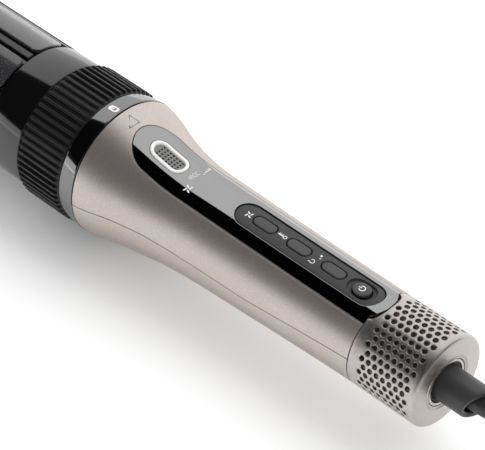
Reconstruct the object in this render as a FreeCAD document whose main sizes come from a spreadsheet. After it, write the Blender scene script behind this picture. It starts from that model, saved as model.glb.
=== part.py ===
"""Hot air brush: a parametric FreeCAD document and one STEP file per piece.

Millimetres, +Z up.  The tool lies on its side-to-side axis of symmetry: its long axis runs along X,
with the brush head towards -X and the cord towards +X.  Stations along the tool are counted from the
plane where the locking collar meets the handle; `shift` moves them so that the tool is centred on X = 0.
"""
import FreeCAD, Part
import math
import os
import Sketcher

os.makedirs("parts", exist_ok=True)
V = FreeCAD.Vector
doc = FreeCAD.newDocument("hot_air_brush")

# ---------------------------------------------------------------- driving dimensions
SIZES = {
    # head
    "tip_at": -186.0, "cap_seam_at": -178.0, "neck_front_at": -53.5, "neck_rear_at": -35.2,
    "socket_front_at": -60.0, "socket_rear_at": -13.0,
    "barrel_bore": 25.5, "barrel_core": 27.0, "neck_radius": 28.9, "plate_radius": 29.0, "land_radius": 28.6,
    "socket_bore": 25.0, "socket_outer": 26.6, "plate_width": 32.0, "land_width": 6.0,
    "plate_front_at": -176.5, "plate_rear_at": -54.8,
    "bristle_first_at": -172.0, "bristle_run": 68.0, "bristle_tip": 35.5, "bristle_radius": 0.45,
    # collar
    "collar_front_at": -34.6, "collar_rear_at": -10.2, "rib_root": 29.2, "rib_crest": 30.5, "rib_width": 1.5,
    "collar_bore": 27.0, "ring_bore": 24.9, "band_rear_at": -2.0, "band_front_radius": 29.4,
    "band_rear_radius": 30.2,
    # handle sections: station, radius, drop of the centre
    "mouth_at": -1.4, "mouth_radius": 30.1, "mouth_drop": 0.0,
    "lip_at": 5.0, "lip_radius": 28.9, "lip_drop": 0.6,
    "throat_at": 12.0, "throat_radius": 26.8, "throat_drop": 1.4,
    "flare_at": 22.0, "flare_radius": 24.6, "flare_drop": 2.4,
    "waist_at": 32.0, "waist_radius": 23.0, "waist_drop": 2.5,
    "grip_at": 45.0, "grip_radius": 22.0, "grip_drop": 1.9,
    "palm_at": 70.0, "palm_radius": 21.2, "palm_drop": 1.2,
    "heel_at": 100.0, "heel_radius": 20.45, "heel_drop": 0.6,
    "tail_at": 137.2, "tail_radius": 19.85, "tail_drop": 0.0,
    "shell_wall": 2.0, "seam_front": 0.6, "seam_bend_at": 86.0, "seam_bend": 0.3, "seam_rear": 4.4,
    # control panel
    "lens_nose_at": 19.5, "lens_half": 11.4, "tongue_half": 8.4, "tongue_end_at": 141.0,
    "fit_gap": 0.12, "bar_front_at": 62.3, "bar_rear_at": 136.4, "bar_half": 6.25, "bar_sink": 0.55,
    "pill_length": 11.3, "pill_width": 5.3, "pill_gap": 0.25, "pill_top": 19.5, "pill_flange": 16.4,
    "pill_foot": 15.9, "power_length": 8.2, "power_width": 7.2,
    "ion_front_at": 15.2, "ion_rear_at": 33.4, "ion_half": 4.6, "ion_rim": 1.55, "ion_proud": 0.35,
    # inside the handle
    "flange_radius": 26.0, "spigot_bore": 22.6, "spigot_outer": 24.6, "spigot_front_at": -48.0,
    "duct_drop": 3.0, "board_low": 12.4, "board_high": 13.6, "switch_high": 15.3,
    "screw_circle": 22.0, "screw_radius": 1.2, "screw_head": 2.2, "screw_clearance": 1.35,
    "heater_bore": 17.6, "heater_outer": 18.6, "coil_radius": 16.7, "coil_wire": 0.5, "mica_half": 16.0,
    "duct_radius": 13.4, "housing_bore": 13.1, "housing_radius": 14.0, "motor_radius": 9.6,
    "shaft_radius": 1.0, "mount_radius": 14.8, "mount_length": 4.0,
    # rear end
    "cap_front_at": 137.5, "cap_rear_at": 169.7, "cap_radius": 19.8, "cap_wall": 1.0, "cap_floor": 2.0,
    "cap_hole": 10.4, "vent_radius": 1.1, "vent_pitch": 3.2, "vent_first_at": 143.3,
    "sleeve_radius": 7.4, "sleeve_long_at": 189.0, "sleeve_short_at": 182.4, "sleeve_inner_at": 156.0,
    "sleeve_bore": 4.9,
    # cord, coil and plug
    "cord_radius": 3.0, "relief_radius": 4.1, "coil_mean": 36.0, "coil_layers": 5.0,
    "plug_width": 35.0, "plug_half_thickness": 13.0, "plug_long": 34.0, "plug_tail": 14.0,
    "pin_radius": 2.4, "pin_length": 19.0, "pin_spacing": 19.0,
}
sheet = doc.addObject("Spreadsheet::Sheet", "sizes")
for row, (alias, number) in enumerate(SIZES.items(), start=1):
    sheet.set(f"A{row}", alias)
    sheet.set(f"B{row}", str(number))
    sheet.setAlias(f"B{row}", alias)
doc.recompute()


class Size:
    """A number together with the sheet expression that gives it."""

    def __init__(self, value, text):
        self.value = value
        self.text = text

    def join(self, other, sign, value):
        other_text = other.text if isinstance(other, Size) else repr(float(other))
        return Size(value, f"({self.text} {sign} {other_text})")

    def __add__(self, other):
        return self.join(other, "+", self.value + number_of(other))

    def __sub__(self, other):
        return self.join(other, "-", self.value - number_of(other))

    def __mul__(self, other):
        return self.join(other, "*", self.value * number_of(other))

    def __truediv__(self, other):
        return self.join(other, "/", self.value / number_of(other))

    def __neg__(self):
        return Size(-self.value, f"(0 - {self.text})")


def number_of(size):
    return size.value if isinstance(size, Size) else float(size)


def cell(alias):
    return Size(SIZES[alias], f"sizes.{alias}")


def fixed(value):
    return Size(float(value), repr(float(value)))


def as_size(value):
    if isinstance(value, str):
        return cell(value)
    return value if isinstance(value, Size) else fixed(value)


def bind(item, prop, size):
    size = as_size(size)
    item.setExpression(prop, size.text)


# ---------------------------------------------------------------- the tool's place in the row frame
LAND_ANGLE = -2.5
LANDS = 8
TURN = 360.0 / LANDS
shift = -(SIZES["tip_at"] + SIZES["sleeve_long_at"]) / 2
BRISTLE_END = SIZES["bristle_radius"] - 0.1
lean = math.radians(abs(LAND_ANGLE))
axis_height = SIZES["bristle_tip"] * math.cos(lean) + BRISTLE_END * math.sin(lean)
OUTPUT = []


def place(item, label, turn=0.0, at=V(0, 0, 0)):
    """Labels a finished sub-part and puts it in the row frame, turned about the tool's axis."""
    item.Label = label
    spin = FreeCAD.Rotation(V(1, 0, 0), turn)
    item.Placement = FreeCAD.Placement(V(shift, 0, axis_height) + spin.multVec(at), spin)
    OUTPUT.append(item)
    return item


# ---------------------------------------------------------------- PartDesign helpers
def new_body(name):
    return doc.addObject("PartDesign::Body", name)


def origin_feature(body, role):
    return next(f for f in body.Origin.OriginFeatures if f.Role == role)


def new_sketch(body, plane="XY_Plane", offset=V(0, 0, 0)):
    sketch = body.newObject("Sketcher::SketchObject", body.Name + "_sketch")
    sketch.AttachmentSupport = [(origin_feature(body, plane), "")]
    sketch.MapMode = "FlatFace"
    sketch.AttachmentOffset = FreeCAD.Placement(offset, FreeCAD.Rotation())
    return sketch


def pin_point(sketch, geometry, end, x, y, rules, names):
    """Holds one end of a line at (x, y), each distance bound to the sheet."""
    for kind, size, axis in (("DistanceX", x, -2), ("DistanceY", y, -1)):
        if abs(size.value) < 1e-9:
            rules.append(Sketcher.Constraint("PointOnObject", geometry, end, axis))
            continue
        names.append((len(rules), f"{kind[-1].lower()}{geometry}_{end}", size))
        rules.append(Sketcher.Constraint(kind, -1, 1, geometry, end, size.value))


def apply_rules(sketch, rules, names):
    first = sketch.ConstraintCount
    sketch.addConstraint(rules)
    for index, name, size in names:
        sketch.renameConstraint(first + index, name)
        if size.text != repr(size.value):
            sketch.setExpression(f"Constraints.{name}", size.text)


def polygon(sketch, points):
    """Closed outline of straight runs through points, each a pair of sizes."""
    points = [(as_size(x), as_size(y)) for x, y in points]
    count = len(points)
    first = sketch.GeometryCount
    for i, (x, y) in enumerate(points):
        nx, ny = points[(i + 1) % count]
        sketch.addGeometry(Part.LineSegment(V(x.value, y.value, 0), V(nx.value, ny.value, 0)))
    rules = []
    names = []
    for i, (x, y) in enumerate(points):
        rules.append(Sketcher.Constraint("Coincident", first + i, 2, first + (i + 1) % count, 1))
        pin_point(sketch, first + i, 1, x, y, rules, names)
    apply_rules(sketch, rules, names)


def stadium(sketch, low, high, half):
    """Closed slot outline from low to high along X, round ended, half wide each way."""
    low, high, half = as_size(low), as_size(high), as_size(half)
    a = low.value + half.value
    b = high.value - half.value
    h = half.value
    g = sketch.GeometryCount
    sketch.addGeometry(Part.LineSegment(V(a, h, 0), V(b, h, 0)))
    sketch.addGeometry(Part.ArcOfCircle(Part.Circle(V(b, 0, 0), V(0, 0, 1), h), -math.pi / 2, math.pi / 2))
    sketch.addGeometry(Part.LineSegment(V(b, -h, 0), V(a, -h, 0)))
    sketch.addGeometry(Part.ArcOfCircle(Part.Circle(V(a, 0, 0), V(0, 0, 1), h), math.pi / 2, 3 * math.pi / 2))
    rules = [
        Sketcher.Constraint("Tangent", g, 2, g + 1, 2),
        Sketcher.Constraint("Tangent", g + 1, 1, g + 2, 1),
        Sketcher.Constraint("Tangent", g + 2, 2, g + 3, 2),
        Sketcher.Constraint("Tangent", g + 3, 1, g, 1),
        Sketcher.Constraint("PointOnObject", g + 1, 3, -1),
        Sketcher.Constraint("DistanceX", -1, 1, g + 1, 3, b),
        Sketcher.Constraint("DistanceX", -1, 1, g + 3, 3, a),
        Sketcher.Constraint("Radius", g + 1, h),
    ]
    names = [(5, f"rear{g}", high - half), (6, f"front{g}", low + half), (7, f"half{g}", half)]
    apply_rules(sketch, rules, names)


def circle(sketch, x, y, radius):
    x, y, radius = as_size(x), as_size(y), as_size(radius)
    g = sketch.addGeometry(Part.Circle(V(x.value, y.value, 0), V(0, 0, 1), radius.value))
    rules = [Sketcher.Constraint("Radius", g, radius.value)]
    names = [(0, f"radius{g}", radius)]
    pin_point(sketch, g, 3, x, y, rules, names)
    apply_rules(sketch, rules, names)


def turned(body, points, sweep=360.0):
    """Turns an outline of (station, radius) pairs about the tool's axis."""
    sketch = new_sketch(body)
    polygon(sketch, points)
    feature = body.newObject("PartDesign::Revolution", body.Name + "_turn")
    feature.Profile = sketch
    feature.ReferenceAxis = (sketch, ["H_Axis"])
    feature.Midplane = True
    if isinstance(sweep, str):
        bind(feature, "Angle", sweep)
    else:
        feature.Angle = sweep
    return feature


def padded(body, sketch, low, high):
    """Raises a sketch on XY from height low to height high."""
    low, high = as_size(low), as_size(high)
    sketch.AttachmentOffset = FreeCAD.Placement(V(0, 0, low.value), FreeCAD.Rotation())
    sketch.setExpression("AttachmentOffset.Base.z", low.text)
    feature = body.newObject("PartDesign::Pad", body.Name + "_pad")
    feature.Profile = sketch
    bind(feature, "Length", high - low)
    return feature


def pocketed(body, sketch, both=True, reverse=False):
    """Cuts a sketch right through, both ways or to one side."""
    feature = body.newObject("PartDesign::Pocket", body.Name + "_cut")
    feature.Profile = sketch
    feature.Length = 400.0
    feature.Midplane = both
    feature.Reversed = reverse
    return feature


def around(body, feature, count):
    """Repeats a feature about the tool's axis."""
    pattern = body.newObject("PartDesign::PolarPattern", body.Name + "_round")
    pattern.Originals = [feature]
    pattern.Axis = (origin_feature(body, "X_Axis"), [""])
    pattern.Angle = 360.0
    pattern.Occurrences = count
    body.Tip = pattern
    return pattern


def along(body, features, length, count):
    """Repeats features along the tool."""
    pattern = body.newObject("PartDesign::LinearPattern", body.Name + "_row")
    pattern.Originals = features
    pattern.Direction = (origin_feature(body, "X_Axis"), [""])
    bind(pattern, "Length", length)
    pattern.Occurrences = count
    body.Tip = pattern
    return pattern


STATIONS = ["mouth", "lip", "throat", "flare", "waist", "grip", "palm", "heel", "tail"]


def handle_loft(body, inset, end_at="tail_at", cut=False):
    """The handle's outer form, or one inset from it, through its round sections."""
    inset = as_size(inset)
    sketches = []
    for station in STATIONS:
        at = as_size(end_at) if station == "tail" else cell(station + "_at")
        sketch = new_sketch(body, "YZ_Plane", V(0, 0, at.value))
        sketch.setExpression("AttachmentOffset.Base.z", at.text)
        circle(sketch, fixed(0), -cell(station + "_drop"), cell(station + "_radius") - inset)
        sketches.append(sketch)
    kind = "PartDesign::SubtractiveLoft" if cut else "PartDesign::AdditiveLoft"
    loft = body.newObject(kind, body.Name + "_form")
    loft.Profile = sketches[0]
    loft.Sections = sketches[1:]
    return loft


def shell_between(name, outer_inset, inner_inset, end_at="tail_at"):
    """A layer of the handle's form between two insets."""
    body = new_body(name)
    handle_loft(body, outer_inset, end_at)
    handle_loft(body, inner_inset, end_at, cut=True)
    return body


FAR = 60.0


def keep_upper(body):
    """Takes away everything below the handle's mid height."""
    sketch = new_sketch(body, "XZ_Plane")
    polygon(sketch, [(-10.0, -FAR), (160.0, -FAR), (160.0, 0.0), (-10.0, 0.0)])
    pocketed(body, sketch)


def seam_cut(body, keep_top):
    """Cuts along the seam between the two half shells, which rises a little towards the rear."""
    edge = -FAR if keep_top else FAR
    sketch = new_sketch(body, "XZ_Plane")
    polygon(sketch, [
        (-10.0, edge), (-10.0, -cell("seam_front")), ("seam_bend_at", -cell("seam_bend")),
        (cell("tail_at") + 10.0, "seam_rear"), (cell("tail_at") + 10.0, edge),
    ])
    pocketed(body, sketch)


def lens_outline(sketch, gap):
    """Round nose, straight sides and a short tongue at the rear."""
    half = cell("lens_half") + gap
    tongue = cell("tongue_half") + gap
    nose = cell("lens_nose_at")
    rear = cell("tail_at")
    tip = cell("tongue_end_at") + gap
    h, t, a, b, e = half.value, tongue.value, nose.value, rear.value, tip.value
    g = sketch.GeometryCount
    sketch.addGeometry(Part.LineSegment(V(a, h, 0), V(b, h, 0)))
    sketch.addGeometry(Part.LineSegment(V(b, h, 0), V(b, t, 0)))
    sketch.addGeometry(Part.Arc(V(b, t, 0), V(e, 0, 0), V(b, -t, 0)))
    sketch.addGeometry(Part.LineSegment(V(b, -t, 0), V(b, -h, 0)))
    sketch.addGeometry(Part.LineSegment(V(b, -h, 0), V(a, -h, 0)))
    sketch.addGeometry(Part.ArcOfCircle(Part.Circle(V(a, 0, 0), V(0, 0, 1), h), math.pi / 2, 3 * math.pi / 2))
    rules = [
        Sketcher.Constraint("Coincident", g, 2, g + 1, 1),
        Sketcher.Constraint("Coincident", g + 1, 2, g + 2, 2),
        Sketcher.Constraint("Coincident", g + 2, 1, g + 3, 1),
        Sketcher.Constraint("Coincident", g + 3, 2, g + 4, 1),
        Sketcher.Constraint("Coincident", g + 4, 2, g + 5, 2),
        Sketcher.Constraint("Coincident", g + 5, 1, g, 1),
    ]
    names = []
    pin_point(sketch, g, 1, nose, half, rules, names)
    pin_point(sketch, g + 1, 1, rear, half, rules, names)
    pin_point(sketch, g + 1, 2, rear, tongue, rules, names)
    pin_point(sketch, g + 3, 1, rear, -tongue, rules, names)
    pin_point(sketch, g + 4, 1, rear, -half, rules, names)
    pin_point(sketch, g + 4, 2, nose, -half, rules, names)
    apply_rules(sketch, rules, names)


def keep_inside(body, draw):
    """Takes away everything outside the outline that draw makes, seen from above."""
    sketch = new_sketch(body)
    polygon(sketch, [(-FAR, -FAR), (200.0, -FAR), (200.0, FAR), (-FAR, FAR)])
    draw(sketch)
    pocketed(body, sketch)


def cut_inside(body, draw):
    sketch = new_sketch(body)
    draw(sketch)
    pocketed(body, sketch)


# ---------------------------------------------------------------- handle
def make_handle_shells():
    upper = shell_between("handle_upper", 0.0, "shell_wall")
    seam_cut(upper, keep_top=True)
    sketch = new_sketch(upper)
    lens_outline(sketch, cell("fit_gap"))
    pocketed(upper, sketch, both=False, reverse=True)
    place(upper, "handle_upper_shell")
    lower = shell_between("handle_lower", 0.0, "shell_wall")
    seam_cut(lower, keep_top=False)
    place(lower, "handle_lower_shell")


def make_panel():
    lens = shell_between("lens", 0.0, "shell_wall", "tongue_end_at")
    keep_upper(lens)
    keep_inside(lens, lambda sk: lens_outline(sk, fixed(0)))
    gap = cell("fit_gap")
    cut_inside(lens, lambda sk: stadium(
        sk, cell("bar_front_at") - gap, cell("bar_rear_at") + gap, cell("bar_half") + gap))
    cut_inside(lens, lambda sk: stadium(
        sk, cell("ion_front_at") - gap, cell("ion_rear_at") + gap, cell("ion_half") + gap))
    place(lens, "control_panel_lens")

    bar = shell_between("bar", "bar_sink", cell("shell_wall") + cell("bar_sink"), "tongue_end_at")
    keep_upper(bar)
    keep_inside(bar, lambda sk: stadium(sk, "bar_front_at", "bar_rear_at", "bar_half"))
    for at, length, width in BUTTONS.values():
        half = cell(width) / 2 + cell("pill_gap")
        reach = cell(length) / 2 + cell("pill_gap")
        cut_inside(bar, lambda sk: stadium(sk, fixed(at) - reach, fixed(at) + reach, half))
    place(bar, "button_bar")


BUTTONS = {
    "fan_button": (76.5, "pill_length", "pill_width"),
    "temperature_button": (94.3, "pill_length", "pill_width"),
    "mode_button": (112.2, "pill_length", "pill_width"),
    "power_button": (126.6, "power_length", "power_width"),
}


def make_buttons():
    for name, (at, length, width) in BUTTONS.items():
        body = new_body(name + "_body")
        reach = cell(length) / 2
        half = cell(width) / 2
        stem = new_sketch(body)
        stadium(stem, fixed(at) - reach, fixed(at) + reach, half)
        padded(body, stem, "pill_foot", "pill_top")
        flange = new_sketch(body)
        stadium(flange, fixed(at) - reach - 0.7, fixed(at) + reach + 0.7, half + 0.7)
        padded(body, flange, "pill_foot", "pill_flange")
        place(body, name)


def make_ion_outlet():
    ring = shell_between("ion_ring", -cell("ion_proud"), cell("shell_wall") + 0.2, "tongue_end_at")
    keep_upper(ring)
    keep_inside(ring, lambda sk: stadium(sk, "ion_front_at", "ion_rear_at", "ion_half"))
    rim = cell("ion_rim")
    cut_inside(ring, lambda sk: stadium(
        sk, cell("ion_front_at") + rim, cell("ion_rear_at") - rim, cell("ion_half") - rim))
    place(ring, "ion_outlet_ring")

    grille = shell_between("ion_grille", 0.8, 1.9, "tongue_end_at")
    keep_upper(grille)
    inside = rim + 0.05
    keep_inside(grille, lambda sk: stadium(
        sk, cell("ion_front_at") + inside, cell("ion_rear_at") - inside, cell("ion_half") - inside))
    rows, columns, pitch, row_pitch, hole = 4, 7, 1.7, 1.5, 0.42
    sketch = new_sketch(grille)
    for row in range(rows):
        y = (row - (rows - 1) / 2) * row_pitch
        first = (cell("ion_front_at") + cell("ion_rear_at")) / 2 - pitch * (columns - 1) / 2
        polygon(sketch, [(first - hole, y - hole), (first + hole, y - hole),
                         (first + hole, y + hole), (first - hole, y + hole)])
    cut = pocketed(grille, sketch)
    along(grille, [cut], fixed(pitch * (columns - 1)), columns)
    place(grille, "ion_outlet_grille")


# ---------------------------------------------------------------- simple solids from Part primitives
def box(name, low, high, label=None):
    """A block between two corners, in tool stations."""
    item = doc.addObject("Part::Box", name)
    item.Length = high[0] - low[0]
    item.Width = high[1] - low[1]
    item.Height = high[2] - low[2]
    item.Placement = FreeCAD.Placement(V(*low), FreeCAD.Rotation())
    if label:
        place(item, label, at=V(*low))
    return item


def rod(name, start, direction, radius, length):
    item = doc.addObject("Part::Cylinder", name)
    item.Radius = radius
    item.Height = length
    item.Placement = FreeCAD.Placement(V(*start), FreeCAD.Rotation(V(0, 0, 1), V(*direction)))
    return item


def cut_from(name, base, tool, label=None):
    item = doc.addObject("Part::Cut", name)
    item.Base = base
    item.Tool = tool
    if label:
        place(item, label)
    return item


def fused(name, items, label=None):
    item = doc.addObject("Part::MultiFuse", name)
    item.Shapes = items
    if label:
        place(item, label)
    return item


def grouped(name, items, label):
    """Separate solids that share one node."""
    item = doc.addObject("Part::Compound", name)
    item.Links = items
    return place(item, label)


# ---------------------------------------------------------------- electrics under the panel
def make_electrics():
    board_low, board_high, switch_high = (SIZES[k] for k in ("board_low", "board_high", "switch_high"))
    board_half = 9.5
    board = box("board_block", (36.0, -board_half, board_low), (133.0, board_half, board_high), "main_board")
    bind(board, "Height", cell("board_high") - cell("board_low"))
    switches = []
    for name, (at, _, _) in BUTTONS.items():
        reach = 2.4
        switch = box(name + "_switch", (at - reach, -reach, board_high), (at + reach, reach, switch_high))
        bind(switch, "Height", cell("switch_high") - cell("board_high"))
        switches.append(switch)
    grouped("switch_group", switches, "tact_switches")
    display_half, display_thick = 8.0, 2.0
    box("display_block", (37.0, -display_half, board_high), (58.0, display_half, board_high + display_thick),
        "display_module")
    ion_half, ion_low, ion_high = 6.0, -19.7, -16.9
    box("ion_block", (40.0, -ion_half, ion_low), (60.0, ion_half, ion_high), "ion_generator")

    needle_at, needle_low, stem_long = 24.3, 15.4, 1.6
    stem = rod("ion_stem", (needle_at, 0, needle_low), (0, 0, 1), 1.6, stem_long)
    needle = doc.addObject("Part::Cone", "ion_point")
    needle.Radius1 = 0.6
    needle.Radius2 = 0.1
    needle.Height = 2.0
    needle_seat = V(needle_at, 0, needle_low + stem_long - 0.1)
    needle.Placement = FreeCAD.Placement(needle_seat, FreeCAD.Rotation())
    fused("ion_fuse", [stem, needle], "ion_needle")


# ---------------------------------------------------------------- collar and spigot
def make_collar():
    collar = new_body("collar")
    front = cell("collar_front_at")
    rear = cell("collar_rear_at")
    bevel, rib_end, rear_lip = 0.6, 0.9, 1.8
    turned(collar, [
        (front, "collar_bore"), (front, cell("rib_root") + 0.5), (front + bevel, cell("rib_root") + 0.5),
        (front + bevel, "rib_root"), (rear - rib_end, "rib_root"), (rear, cell("rib_root") - 0.4),
        (rear, "ring_bore"), (rear - rear_lip, "ring_bore"), (rear - rear_lip, "collar_bore"),
    ])
    rib = new_sketch(collar)
    half = cell("rib_width") / 2
    polygon(rib, [
        (front + bevel, -half), (rear - rib_end, -half), (rear - rib_end, half), (front + bevel, half),
    ])
    pad = padded(collar, rib, cell("rib_root") - 0.5, "rib_crest")
    around(collar, pad, 60)
    place(collar, "locking_collar", turn=-3.0)

    band = new_body("band")
    turned(band, [
        (rear + 0.1, "ring_bore"), (rear + 0.1, cell("band_front_radius") - 0.3),
        (rear + 0.5, "band_front_radius"), (cell("band_rear_at") - 0.5, "band_rear_radius"),
        ("band_rear_at", cell("band_rear_radius") - 0.4), ("band_rear_at", "ring_bore"),
    ])
    place(band, "collar_band")


def screw_holes(body):
    """Four clearance holes on the screw circle."""
    hole = new_sketch(body, "YZ_Plane")
    circle(hole, 0.0, "screw_circle", "screw_clearance")
    around(body, pocketed(body, hole), 4)


def make_spigot():
    spigot = new_body("spigot")
    flange_front, flange_rear, flange_bore, chamfer = 0.3, 2.8, 19.2, 0.8
    turned(spigot, [
        ("spigot_front_at", "spigot_bore"), ("spigot_front_at", cell("spigot_outer") - chamfer),
        (cell("spigot_front_at") + chamfer, "spigot_outer"), (flange_front, "spigot_outer"),
        (flange_front, "flange_radius"), (flange_rear, "flange_radius"), (flange_rear, flange_bore),
        (flange_front, flange_bore), (flange_front, "spigot_bore"),
    ])
    screw_holes(spigot)
    place(spigot, "head_spigot")

    duct = new_body("heater_duct_body")
    duct_front, duct_rear, rim_front, rim_rear, rim_radius = -46.0, 12.0, 2.9, 4.9, 24.4
    turned(duct, [
        (duct_front, "heater_bore"), (duct_front, "heater_outer"), (rim_front, "heater_outer"),
        (rim_front, rim_radius), (rim_rear, rim_radius), (rim_rear, "heater_outer"),
        (duct_rear, "heater_outer"), (duct_rear, "heater_bore"),
    ])
    screw_holes(duct)
    place(duct, "heater_duct")

    screws = []
    head_long, shank_front, shank_long = 1.5, -1.4, 6.6
    for quarter in range(4):
        angle = math.radians(90 * quarter)
        y = SIZES["screw_circle"] * math.sin(angle)
        z = SIZES["screw_circle"] * math.cos(angle)
        head = rod(f"screw_head{quarter}", (rim_rear, y, z), (1, 0, 0), SIZES["screw_head"], head_long)
        shank = rod(
            f"screw_shank{quarter}", (shank_front, y, z), (1, 0, 0), SIZES["screw_radius"], shank_long)
        bind(head, "Radius", "screw_head")
        bind(shank, "Radius", "screw_radius")
        screws.append(fused(f"screw{quarter}", [head, shank]))
    grouped("screw_group", screws, "duct_screws")


def make_heater():
    half = SIZES["mica_half"]
    sheet_half, front, rear = 0.5, -43.0, 9.0
    flat = box("mica_flat", (front, -half, -sheet_half), (rear, half, sheet_half))
    upright = box("mica_upright", (front, -sheet_half, -half), (rear, sheet_half, half))
    fused("mica_fuse", [flat, upright], "heater_frame")
    rings = []
    turns, pitch, first = 12, 4.0, -40.0
    for i in range(turns):
        ring = doc.addObject("Part::Torus", f"heater_ring{i}")
        bind(ring, "Radius1", "coil_radius")
        bind(ring, "Radius2", "coil_wire")
        at = first + i * pitch
        ring.Placement = FreeCAD.Placement(V(at, 0, 0), FreeCAD.Rotation(V(0, 0, 1), V(1, 0, 0)))
        rings.append(ring)
    grouped("heater_rings", rings, "heater_coil")
    cutout_low, cutout_high = (-26.0, sheet_half, 4.0), (-16.0, 4.5, 10.0)
    box("cutout_block", cutout_low, cutout_high, "thermal_cutout")


# ---------------------------------------------------------------- air path and motor
def make_air_path():
    drop = SIZES["duct_drop"]
    duct = new_body("air_duct_body")
    duct_front, duct_bend, duct_rear, mouth_radius, duct_wall = 12.4, 40.0, 92.0, 17.0, 1.0
    radius = cell("duct_radius")
    sections = [
        (duct_front, fixed(0), fixed(mouth_radius)), (duct_bend, -cell("duct_drop"), radius),
        (duct_rear, -cell("duct_drop"), radius),
    ]
    for wall, kind in ((0.0, "PartDesign::AdditiveLoft"), (duct_wall, "PartDesign::SubtractiveLoft")):
        sketches = []
        for at, z, outer in sections:
            sketch = new_sketch(duct, "YZ_Plane", V(0, 0, at))
            circle(sketch, 0.0, z, outer - wall)
            sketches.append(sketch)
        loft = duct.newObject(kind, "air_duct_loft")
        loft.Profile = sketches[0]
        loft.Sections = sketches[1:]
        loft.Ruled = True
    place(duct, "air_duct")

    low = V(0, 0, -drop)
    housing = new_body("housing")
    front, rear = 93.0, 135.5
    turned(housing, [
        (front, "housing_bore"), (front, "housing_radius"), (rear, "housing_radius"), (rear, "housing_bore"),
    ])
    vane_front, vane_rear, vane_half, vane_foot = 97.0, 112.0, 0.5, 10.2
    vane = new_sketch(housing)
    polygon(vane, [
        (vane_front, -vane_half), (vane_rear, -vane_half), (vane_rear, vane_half), (vane_front, vane_half),
    ])
    around(housing, padded(housing, vane, vane_foot, cell("housing_bore") + 0.3), 7)
    cup_front, cup_rear, cup_bore, cup_radius = 96.0, 118.0, 9.7, 10.6
    turned(housing, [
        (cup_front, cup_bore), (cup_front, cup_radius), (cup_rear, cup_radius), (cup_rear, cup_bore),
    ])
    place(housing, "fan_housing", at=low)

    motor = new_body("motor_body")
    can_front, can_rear, boss_rear, boss_radius, bore_front = 97.0, 120.0, 123.0, 4.0, 110.0
    bore = cell("shaft_radius") + 0.05
    turned(motor, [
        (can_front, 0.0), (can_front, "motor_radius"), (can_rear, "motor_radius"), (can_rear, boss_radius),
        (boss_rear, boss_radius), (boss_rear, bore), (bore_front, bore), (bore_front, 0.0),
    ])
    place(motor, "motor_can", at=low)

    shaft = new_body("shaft_body")
    shaft_front, shaft_rear = 111.0, 133.5
    turned(shaft, [
        (shaft_front, 0.0), (shaft_front, "shaft_radius"), (shaft_rear, "shaft_radius"), (shaft_rear, 0.0),
    ])
    place(shaft, "motor_shaft", at=low)

    impeller = new_body("impeller_body")
    hub_front, hub_shoulder, hub_rear, hub_radius, hub_nose = 124.5, 131.0, 133.0, 5.5, 3.5
    turned(impeller, [
        (hub_front, "shaft_radius"), (hub_front, hub_radius), (hub_shoulder, hub_radius),
        (hub_rear, hub_nose), (hub_rear, "shaft_radius"),
    ])
    blade_front, blade_rear, blade_thick, blade_lean = 124.8, 130.6, 1.0, 3.0
    blade = new_sketch(impeller)
    polygon(blade, [
        (blade_front, -blade_lean), (blade_front + blade_thick, -blade_lean),
        (blade_rear + blade_thick, blade_lean), (blade_rear, blade_lean),
    ])
    blade_foot, blade_tip = 4.2, 12.4
    around(impeller, padded(impeller, blade, blade_foot, blade_tip), 9)
    place(impeller, "fan_impeller", at=low)

    rings = []
    length = SIZES["mount_length"]
    for i, at in enumerate((101.0, 127.0)):
        outer = rod(f"mount_outer{i}", (at, 0, -drop), (1, 0, 0), SIZES["mount_radius"], length)
        inner = rod(f"mount_inner{i}", (at, 0, -drop), (1, 0, 0), SIZES["housing_radius"], length)
        bind(outer, "Radius", "mount_radius")
        bind(inner, "Radius", "housing_radius")
        rings.append(cut_from(f"mount{i}", outer, inner))
    grouped("mount_rings", rings, "motor_mounts")


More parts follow.
